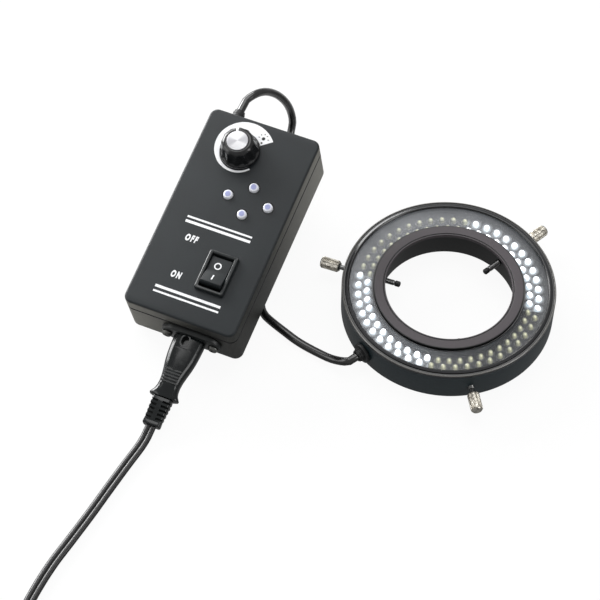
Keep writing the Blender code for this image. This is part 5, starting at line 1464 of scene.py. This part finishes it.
def plug_body():
    """Distance from the cord, width and depth: the ribbed neck first, then the waist."""
    sizes = [(0.0, 8.4, 5.4), (0.3, 9.0, 6.0), (2.2, 10.0, 6.4), (2.3, 9.2, 5.8), (3.2, 9.6, 6.0),
             (3.3, 11.4, 7.0), (4.8, 12.2, 7.4), (4.9, 11.2, 6.6), (5.8, 11.8, 6.9), (5.9, 14.0, 8.2),
             (8.0, 17.4, 9.6), (10.4, 21.0, 11.6), (11.6, 23.0, 13.2), (13.0, 23.9, 14.0),
             (18.0, 22.8, 13.6), (24.0, 21.8, 13.0), (30.0, 22.8, 13.6), (34.6, 24.0, 14.0),
             (36.4, 23.8, 13.8), (37.0, 22.8, 12.8)]
    rings = [level(rounded_box(w, h, min(3.2, h * 0.32), 6), z) for z, w, h in sizes]
    body = loft("lead_plug", rings, PLUG)
    slots = [slab("blade_slot", 2.1, 6.95, 32.0, 38.0, (x, 0), 0.2, PLUG) for x in (-BLADE_X, BLADE_X)]
    return smooth(paint(carve(body, *slots), PVC), 35)


def blade(name, x):
    """Flat brass blade, plated, its end bevelled and pierced."""
    sizes = [(32.3, 1.5, 6.35), (52.4, 1.5, 6.35), (53.3, 1.3, 5.2), (54.0, 0.9, 3.6)]
    made = loft(name, [level(rounded_box(w, h, 0.2, 2), z, (x, 0)) for z, w, h in sizes], PLUG)
    hole = bore("blade_hole", 1.6, (x - 2, 0, 49), (x + 2, 0, 49), PLUG, 24)
    return smooth(paint(carve(made, hole), NICKEL))


fit(plug_body(), "base", "black_plastic", "mains_plug")
fit(blade("plug_pin_1", -BLADE_X), "base", "nickel", "plug_blade_1")
fit(blade("plug_pin_2", BLADE_X), "base", "nickel", "plug_blade_2")


# %% Ties
def strap(name, centre, radius, angle, width, height):
    """A flat strap once round the bundle, with rounded corners."""
    thick, half = 1.4, 2.5
    outer = rounded_box(width + thick, height + thick, 1.6, 5)
    inner = rounded_box(width, height, 1.0, 5)
    middle = (height + thick) / 2
    place = Matrix.Translation((*centre, 0)) @ spin(angle, "Z") @ shift(radius, 0, middle)
    turns = ((inner, -half), (outer, -half), (outer, half), (inner, half), (inner, -half))
    rings = [[(x, y, z) for x, z in outline] for outline, y in turns]
    return smooth(paint(loft(name, rings, place, caps=False), SLEEVE_RUBBER))


MAINS_TIE = strap("mains_lead_strap", MAINS_COIL[0], 27.6, 80, 20.0, 13.6)
LAMP_TIE = strap("lamp_lead_strap", LAMP_COIL_CENTRE, COIL_RADIUS, 75, 23.2, 9.1)
fit(MAINS_TIE, "base", "foot_rubber", "mains_cord_tie")
fit(LAMP_TIE, "base", "foot_rubber", "lamp_cable_tie")

# %% [markdown]
# ## Ring light
# The housing, the bezel, the window and the collar are each one section turned about the ring's
# axis by the turning tree. Satin black anodising covers the housing, where it is slightly blue, and
# the bezel. The collar is painted a warm dark grey. Edges are broken by small roundings that show
# as thin bright lines.

# %% Ring finishes
def anodised(name, colour, light, roughness, grain=0.5, painted_light_bands=()):
    """Fine turning lines round the ring, under a dyed satin skin; each painted band has a colour of its own,
    for painted shade or a painted highlight.
    """
    made = Finish(name, Specular_IOR_Level=0.6)
    here = made.local(RING_CENTRE)
    height = made.part_of(here, "Z") * 1000
    away = made.distance(here) * 1000
    cloud = made.noise(26.0, 3.0)
    skin = made.noise(0.35, 2.0, 0.6)
    lines = ((height + away) * 21 + cloud * 2).math("SINE") * 0.5 + 0.5
    tone = made.mix(cloud.ramp(0.3, 0.7) * 0.6 + skin * 0.4, colour, light)
    for low, high, band in painted_light_bands:
        tone = made.mix(away.between(low, high), tone, band)
    made.set(Base_Color=tone, Roughness=roughness + (cloud - 0.5) * 0.1 + lines * 0.04)
    made.relief(lines * grain + skin * (1 - grain), 0.012)
    return made.material


# Near-black bands are painted shade in the bore, in the bezel's grooves and at the collar's edges; the pale
# band on the bezel's outer edge is a painted highlight.
ANODISED = anodised("ring_anodised", "0e1a1e", "18262b", 0.36, painted_light_bands=[(32.0, 33.8, "030607")])
BEZEL_BLACK = anodised("bezel_anodised", "1b1c1e", "262729", 0.2, 0.2, [
    (47.2, 47.9, "050607"), (49.2, 50.25, "050607"), (50.3, 50.9, "6c6b68")])
COLLAR_PAINT = anodised("collar_paint", "322c30", "3c363a", 0.55, 0.15, [
    (30.75, 31.3, "08090a"), (35.3, 36.0, "08090a")])
print("ring finishes ready")


# %% Housing
SCREW_ANGLES = (40, 160, 280)


def ring_housing():
    section = [(51.0, 15.6, 0.25), (51.0, 0.7, 0.3), (50.3, 0.0, 0.3), (33.7, 0.0, 0.3), (33.0, 0.7, 0.3),
               (33.0, 15.6, 0.2), (35.0, 15.6), (35.0, 2.0, 0.5), (49.0, 2.0, 0.5), (49.0, 15.6)]
    body = turned("housing_shell", section, ANODISED, RING, 192)
    bosses = [bore("boss", 3.0, (0, 0, 45.9), (0, 0, 49.3), radial(a), 32) for a in SCREW_ANGLES]
    carve(body, *bosses, operation="UNION")
    ways = [bore("screw_way", 1.7, (0, 0, 32.0), (0, 0, 52.0), radial(a), 32) for a in SCREW_ANGLES]
    ways += [bore("bush_way", 3.9, (0, 0, 48.0), (0, 0, 52.0), radial(BUSH_ANGLE), 32)]
    return smooth(paint(carve(body, *ways), ANODISED), 32)


fit(ring_housing(), "base", "ring_black", "ring_housing")

# %% Bezel and collar
BEZEL_SECTION = [(47.3, 17.3), (49.0, 17.3), (49.0, 15.9), (51.0, 15.9, 0.15), (51.0, 17.1, 0.3),
                 (50.4, 17.55, 0.15), (50.2, 17.0, 0.1), (49.4, 17.0, 0.1), (49.2, 17.6, 0.1),
                 (48.1, 18.0, 0.15), (47.75, 17.9, 0.15), (47.3, 17.4, 0.1)]
COLLAR_SECTION = [(35.8, 17.3, 0.1), (35.8, 17.8, 0.15), (35.6, 18.0, 0.1), (31.35, 18.0, 0.15),
                  (31.1, 17.7, 0.1), (30.9, 17.7, 0.1), (30.75, 17.9, 0.1), (30.2, 17.9, 0.2),
                  (30.2, 16.1, 0.2), (31.6, 16.1), (31.6, 14.1, 0.15), (32.7, 14.1, 0.2), (32.7, 17.3)]
bezel = turned("bezel_ring", BEZEL_SECTION, BEZEL_BLACK, RING, 192, 5)
collar = turned("collar_ring", COLLAR_SECTION, COLLAR_PAINT, RING, 192, 5)
fit(bezel, "base", "ring_black", "ring_bezel")
fit(collar, "base", "collar_grey", "inner_collar")

# %% [markdown]
# ## Window
# Clear acrylic, almost colourless, with a black band round its inner edge, painted shade where it
# meets the collar. It lets most light through and mirrors the studio at a low angle. Towards its far
# left side it is painted paler and milkier, a painted reflection of the bright left.

# %% Acrylic window
def acrylic():
    made = Finish("clear_acrylic", Specular_IOR_Level=0.5, IOR=1.49)
    haze = made.noise(9.0, 3.0)
    dust = made.noise(0.3, 2.0, 0.7)
    here = made.local(RING_CENTRE)
    # The black band round the inner edge is painted shade where the window meets the collar.
    painted_edge_shade = (made.distance(here) * 1000).math("LESS_THAN", 36.4)
    # Towards the far left the pane is painted paler and less clear: a painted reflection.
    far_left_reach = made.node("ShaderNodeVectorMath", {"operation": "DOT_PRODUCT"}, [here, (-0.85, 0.52, 0)], "Value")
    painted_left_reflection = (far_left_reach * 1000).ramp(-34, 46)
    clear = made.mix(haze, "b9bcc2", "cdd0d4")
    cover = 0.05 + painted_left_reflection * (0.1 + haze * 0.1) + dust.ramp(0.66, 0.8) * 0.06
    made.set(Base_Color=made.mix(painted_edge_shade, clear, "040505"),
             Alpha=cover.math("MAXIMUM", painted_edge_shade), Roughness=0.05 + haze * 0.06)
    made.relief(haze, 0.02)
    return made.material


window = turned("window_pane", [(48.7, 17.0, 0.1), (48.7, 15.9), (33.3, 15.9), (33.3, 17.0, 0.1)],
                acrylic(), RING, 192)
fit(window, "base", "window", "ring_window")

# %% [markdown]
# ## LED boards
# Four boards make a cone that leans in towards the bore. Each carries two staggered rows of twelve
# clear 3 mm lamps, laid out by the tree for copies round an axis. In the photograph the zones on
# the left and on the right are lit. The others show the yellow phosphor under their domes. The
# board shows a tinned pad round every lamp, and beside a lit lamp a faint shine.

# %% Places of the lamps
LEAN = 13.0
BOARD_INNER, BOARD_OUTER, BOARD_BACK, BOARD_TOP = 35.6, 48.4, 9.4, 10.6
ROWS = ((38.9, 0.75), (43.1, 0.25))
ZONE, ZONE_START, LAMPS_IN_ROW = 90, 75, 12
LAMP_PITCH = ZONE / LAMPS_IN_ROW


def rise(radius):
    """How far the cone of the boards has risen at a radius."""
    return (radius - BOARD_INNER) * math.tan(math.radians(LEAN))


def lamp_share(made, reach, aside=(0, 0)):
    """How near a point is to the middle of its lamp: 1 there, 0 at the given reach."""
    here = made.local(RING_CENTRE + Vector((aside[0] * MM, aside[1] * MM, 0)))
    away = made.distance(here) * 1000
    turn = made.angle(here) * (180 / math.pi) + (360 - ZONE_START)
    shares = []
    for radius, offset in ROWS:
        along = (turn / LAMP_PITCH - offset).math("FRACT") - 0.5
        along = 0.5 - along.math("ABSOLUTE")
        beside = along * (LAMP_PITCH * math.pi / 180 * radius)
        inward = away - radius
        shares.append(1 - (beside * beside + inward * inward).math("SQRT").ramp(0, reach))
    return shares[0].math("MAXIMUM", shares[1])


print("a lamp every", LAMP_PITCH, "degrees")


# %% Clear and lit lamps
def clear_lamp():
    """Clear epoxy seen as a pale dome, with its yellow phosphor deep in the middle. The bright middle is
    shifted towards the front and glows though the lamp is off: a painted highlight.
    """
    made = Finish("led_dark", Specular_IOR_Level=0.7)
    # The bright middle is shifted towards the front and made to glow: a painted highlight where light gathers
    # in the dome, though the lamp is off.
    near = lamp_share(made, 1.6, (0.15, -0.5))
    swirl = made.noise(0.7, 2.0)
    rim = made.mix((near + swirl * 0.2).ramp(0.1, 0.62), "6a6b62", "c4c5a8")
    made.set(Base_Color=made.mix(near.ramp(0.62, 0.9), rim, "f4f2cf"), Roughness=0.12 + swirl * 0.1,
             Emission_Color=made.mix(near.ramp(0.3, 0.9), (0, 0, 0, 1), "f2f1c8"),
             Emission_Strength=0.4)
    made.relief(swirl, 0.05)
    return made.material


def lit_lamp():
    made = Finish("led_lit", Specular_IOR_Level=0.5)
    swirl = made.noise(0.8, 2.0)
    near = lamp_share(made, 1.5)
    glow = made.mix((near + swirl * 0.05).ramp(0.08, 0.3), "78848c", "f8fbff")
    made.set(Base_Color="f4f7fa", Roughness=0.2 + swirl * 0.1,
             Emission_Color=glow, Emission_Strength=2.2)
    return made.material


CLEAR_LAMP, LIT_LAMP = clear_lamp(), lit_lamp()
print("lamp finishes ready")


# %% Board finish
def board_finish(name, shine):
    """Black solder mask with tinned pads, and the shine of the lamps on it."""
    made = Finish(name)
    near = lamp_share(made, 3.0)
    grime = made.noise(3.0, 3.0)
    weave = made.noise(0.25, 2.0)
    pad = (near + (weave - 0.5) * 0.02).ramp(0.3, 0.42)
    mask = made.mix(grime, "1f2123", "2d2f31")
    made.set(Base_Color=made.mix(pad * 0.5, mask, "8a8d8c"), Roughness=0.35 + grime * 0.2,
             Emission_Color=made.mix(near, (0, 0, 0, 1), "e6eef5"), Emission_Strength=shine)
    made.relief(weave, 0.02)
    return made.material


DARK_BOARD, LIT_BOARD = board_finish("led_board_dark", 0.0), board_finish("led_board_lit", 0.9)
print("board finishes ready")


# %% Boards with their lamps
def board_plate(name, first, material):
    """A quarter of a cone with cut corners and a thin edge."""
    up, gap = rise(BOARD_OUTER), 0.1
    section = [(BOARD_INNER, BOARD_BACK), (BOARD_OUTER, BOARD_BACK + up),
               (BOARD_OUTER, BOARD_TOP + up), (BOARD_INNER, BOARD_TOP)]
    rings = []
    for i in range(41):
        turn = math.radians(first + gap + (ZONE - 2 * gap) * i / 40)
        c, s = math.cos(turn), math.sin(turn)
        rings.append([(r * c, r * s, z) for r, z in section])
    return smooth(paint(loft(name, rings, RING), material), 20)


def lamp_dome(radius):
    """Flanged dome with its foot a little below the board's face."""
    bend = [math.radians(a) for a in range(15, 90, 15)]
    neck = 1.2
    section = [(0, -0.05), (1.5, -0.05), (1.5, 0.4, 0.1), (radius + 0.02, 0.45), (radius, neck)]
    section += [(radius * math.cos(t), neck + radius * math.sin(t)) for t in bend]
    section.append((0, neck + radius))
    return turned("lamp_dome", section, CLEAR_LAMP, Matrix(), 20)


def led_zone(n, lit):
    """A lit lamp is made a little wider, since its glow spreads in the photograph."""
    first = ZONE_START + ZONE * (n - 1)
    size, lamp, board = (1.4, LIT_LAMP, LIT_BOARD) if lit else (1.3, CLEAR_LAMP, DARK_BOARD)
    rows = [ringed("lamp_row", lamp_dome(size), LAMPS_IN_ROW, radius, BOARD_TOP + rise(radius),
                   first + LAMP_PITCH * offset, LAMP_PITCH, LEAN, lamp, RING) for radius, offset in ROWS]
    return merged(f"led_zone_{n}", [board_plate("board", first, board), *rows])


for n in (1, 2, 3, 4):
    fit(led_zone(n, n in (2, 4)), "base", "led_lens", f"led_board_{n}")

# %% [markdown]
# ## Thumbscrews
# Three nickel-plated screws clamp the objective. The head's straight knurl is one ridge copied
# round its axis, between two turned collars. The shank's thread is turned too. Each head and shank
# is one body that turns, and the soft tip in front of it is another that only slides.

# %% Thumbscrews and tips
RIDGES = 36
CORE_SECTION = [(0, 54.4), (1.9, 54.4), (2.45, 55.0, 0.2), (2.62, 55.4, 0.1), (2.62, 63.6, 0.1),
                (2.3, 64.2, 0.2), (1.5, 64.4, 0.2), (0, 64.3)]
TIP_SECTION = [(0, 23.9), (0.9, 23.9, 0.3), (1.4, 24.3, 0.4), (1.4, 26.3, 0.15), (1.25, 26.5), (0, 26.5)]


def knurled_head(where):
    """Each ridge is cut back at both ends."""
    core = turned("head_core", CORE_SECTION, HEAD_NICKEL, Matrix(), 72)
    ends = ((55.2, 0.25), (55.5, 0), (63.4, 0), (63.7, 0.25))
    ridge = loft("ridge", [[(-0.35, -0.2, z), (0.12 - cut, -0.1, z), (0.2 - cut, 0, z),
                            (0.12 - cut, 0.1, z), (-0.35, 0.2, z)] for z, cut in ends])
    ridges = ringed("knurl", ridge, RIDGES, 2.68, 0, 0, 360 / RIDGES, 0, HEAD_NICKEL, Matrix())
    head = merged("thumb_head", [core, ridges], HEAD_NICKEL)
    head.data.transform(where)
    return head


def thread_section(radius, start, end, pitch, depth):
    """Zigzag of a screw thread between two places on the axis."""
    points, at = [], start
    while at + pitch <= end:
        points += [(radius - depth, at), (radius, at + pitch / 2)]
        at += pitch
    return [*points, (radius - depth, at), (radius - depth, end)]


SHANK_SECTION = [(0, 26.8), (1.1, 26.8), *thread_section(1.4, 27.1, 52.5, 0.5, 0.22), (1.15, 54.6), (0, 54.6)]
for n, angle in enumerate(SCREW_ANGLES, 1):
    axis = radial(angle)
    shank = turned("shank", SHANK_SECTION, DARK_STEEL, axis, 32)
    screw = merged(f"clamp_screw_{n}", [knurled_head(axis), shank])
    fit(smooth(screw, 30), f"thumb_screw_{n}_body", "nickel", f"thumb_screw_{n}")
    tip = turned(f"clamp_tip_{n}", TIP_SECTION, SLEEVE_RUBBER, axis, 32)
    fit(tip, f"tip_{n}", "black_plastic", f"screw_tip_{n}")

# %% [markdown]
# ## Parts that are seldom seen
# The inside of the box keeps its CAD shapes and gets finishes of its own: green solder mask with
# copper tracks, a transformer with a taped winding, a sleeved capacitor, and bright metal parts.

# %% Inner finishes
def dress(material, *nodes):
    """Gives CAD nodes a finish in their own material slots."""
    for name in nodes:
        for slot in bpy.data.objects[name].material_slots:
            slot.material = material
    print(material.name, "on", ", ".join(nodes))


def circuit_finish():
    """Solder mask with straight tracks under it and a scatter of pads."""
    made = Finish("circuit_mask")
    here = made.local(BOX_ORIGIN, BOX_TURN)
    across, along = made.part_of(here, "X") * 1000, made.part_of(here, "Y") * 1000
    drift = (made.noise(9.0, 1.0) * 5).math("ROUND")
    tracks = ((across + drift) * 0.55).math("FRACT").between(0.0, 0.35)
    crossing = ((along + drift * 2) * 0.3).math("FRACT").between(0.0, 0.15)
    copper = tracks.math("MAXIMUM", crossing)
    grime = made.noise(3.0, 3.0)
    mask = made.mix(grime, "0f4a2a", "1b5c36")
    made.set(Base_Color=made.mix(copper * 0.7, mask, "3c8a52"), Roughness=0.3 + grime * 0.2)
    made.relief(copper, 0.03)
    return made.material


def banded(name, colour, light, band, axis, pitch_mm):
    """Layers of lamination, tape or sleeve, seen edge on."""
    made = Finish(name)
    here = made.local(BOX_ORIGIN, BOX_TURN)
    layer = (made.part_of(here, axis) * (1000 / pitch_mm)).math("FRACT")
    cloud = made.noise(2.5, 3.0)
    tone = made.mix(cloud, colour, light)
    made.set(Base_Color=made.mix(layer.between(0.0, 0.2), tone, band), Roughness=0.4 + cloud * 0.2)
    made.relief(layer.ramp(0.0, 0.3) + cloud * 0.3, 0.05)
    return made.material


dress(circuit_finish(), "circuit_board")
dress(banded("transformer_tape", "b8932a", "cfa93c", "5c4a1a", "Z", 1.4), "transformer")
dress(banded("capacitor_sleeve", "1c2a4a", "26365c", "9aa3b5", "Y", 4.2), "capacitor")
dress(moulded("potentiometer_housing", "20242a", "30353c", 0.45, 0.4, 0.03), "potentiometer")
dress(NICKEL, "potentiometer_nut", "potentiometer_shaft", "inlet_pin_1", "inlet_pin_2")

# %% [markdown]
# ## Lengths of the cords
# The length of each cord along its route is printed. The lamp cable goes back into the object; the
# mains lead ends in its plug.

# %% Cord lengths
length_of(LAMP_LINE)
length_of(MAINS_LINE)
print("cords:", round(length_of(LAMP_LINE), 3), "m to the ring,",
      round(length_of(MAINS_LINE), 3), "m to the plug")

# %% Sizes and finish
def corners(box):
    return [[round(c, 6) for c in corner] for corner in box]


sizes = {"cad": corners(SIZE_AT_LOAD), "visual": corners(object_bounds())}
print(sizes)
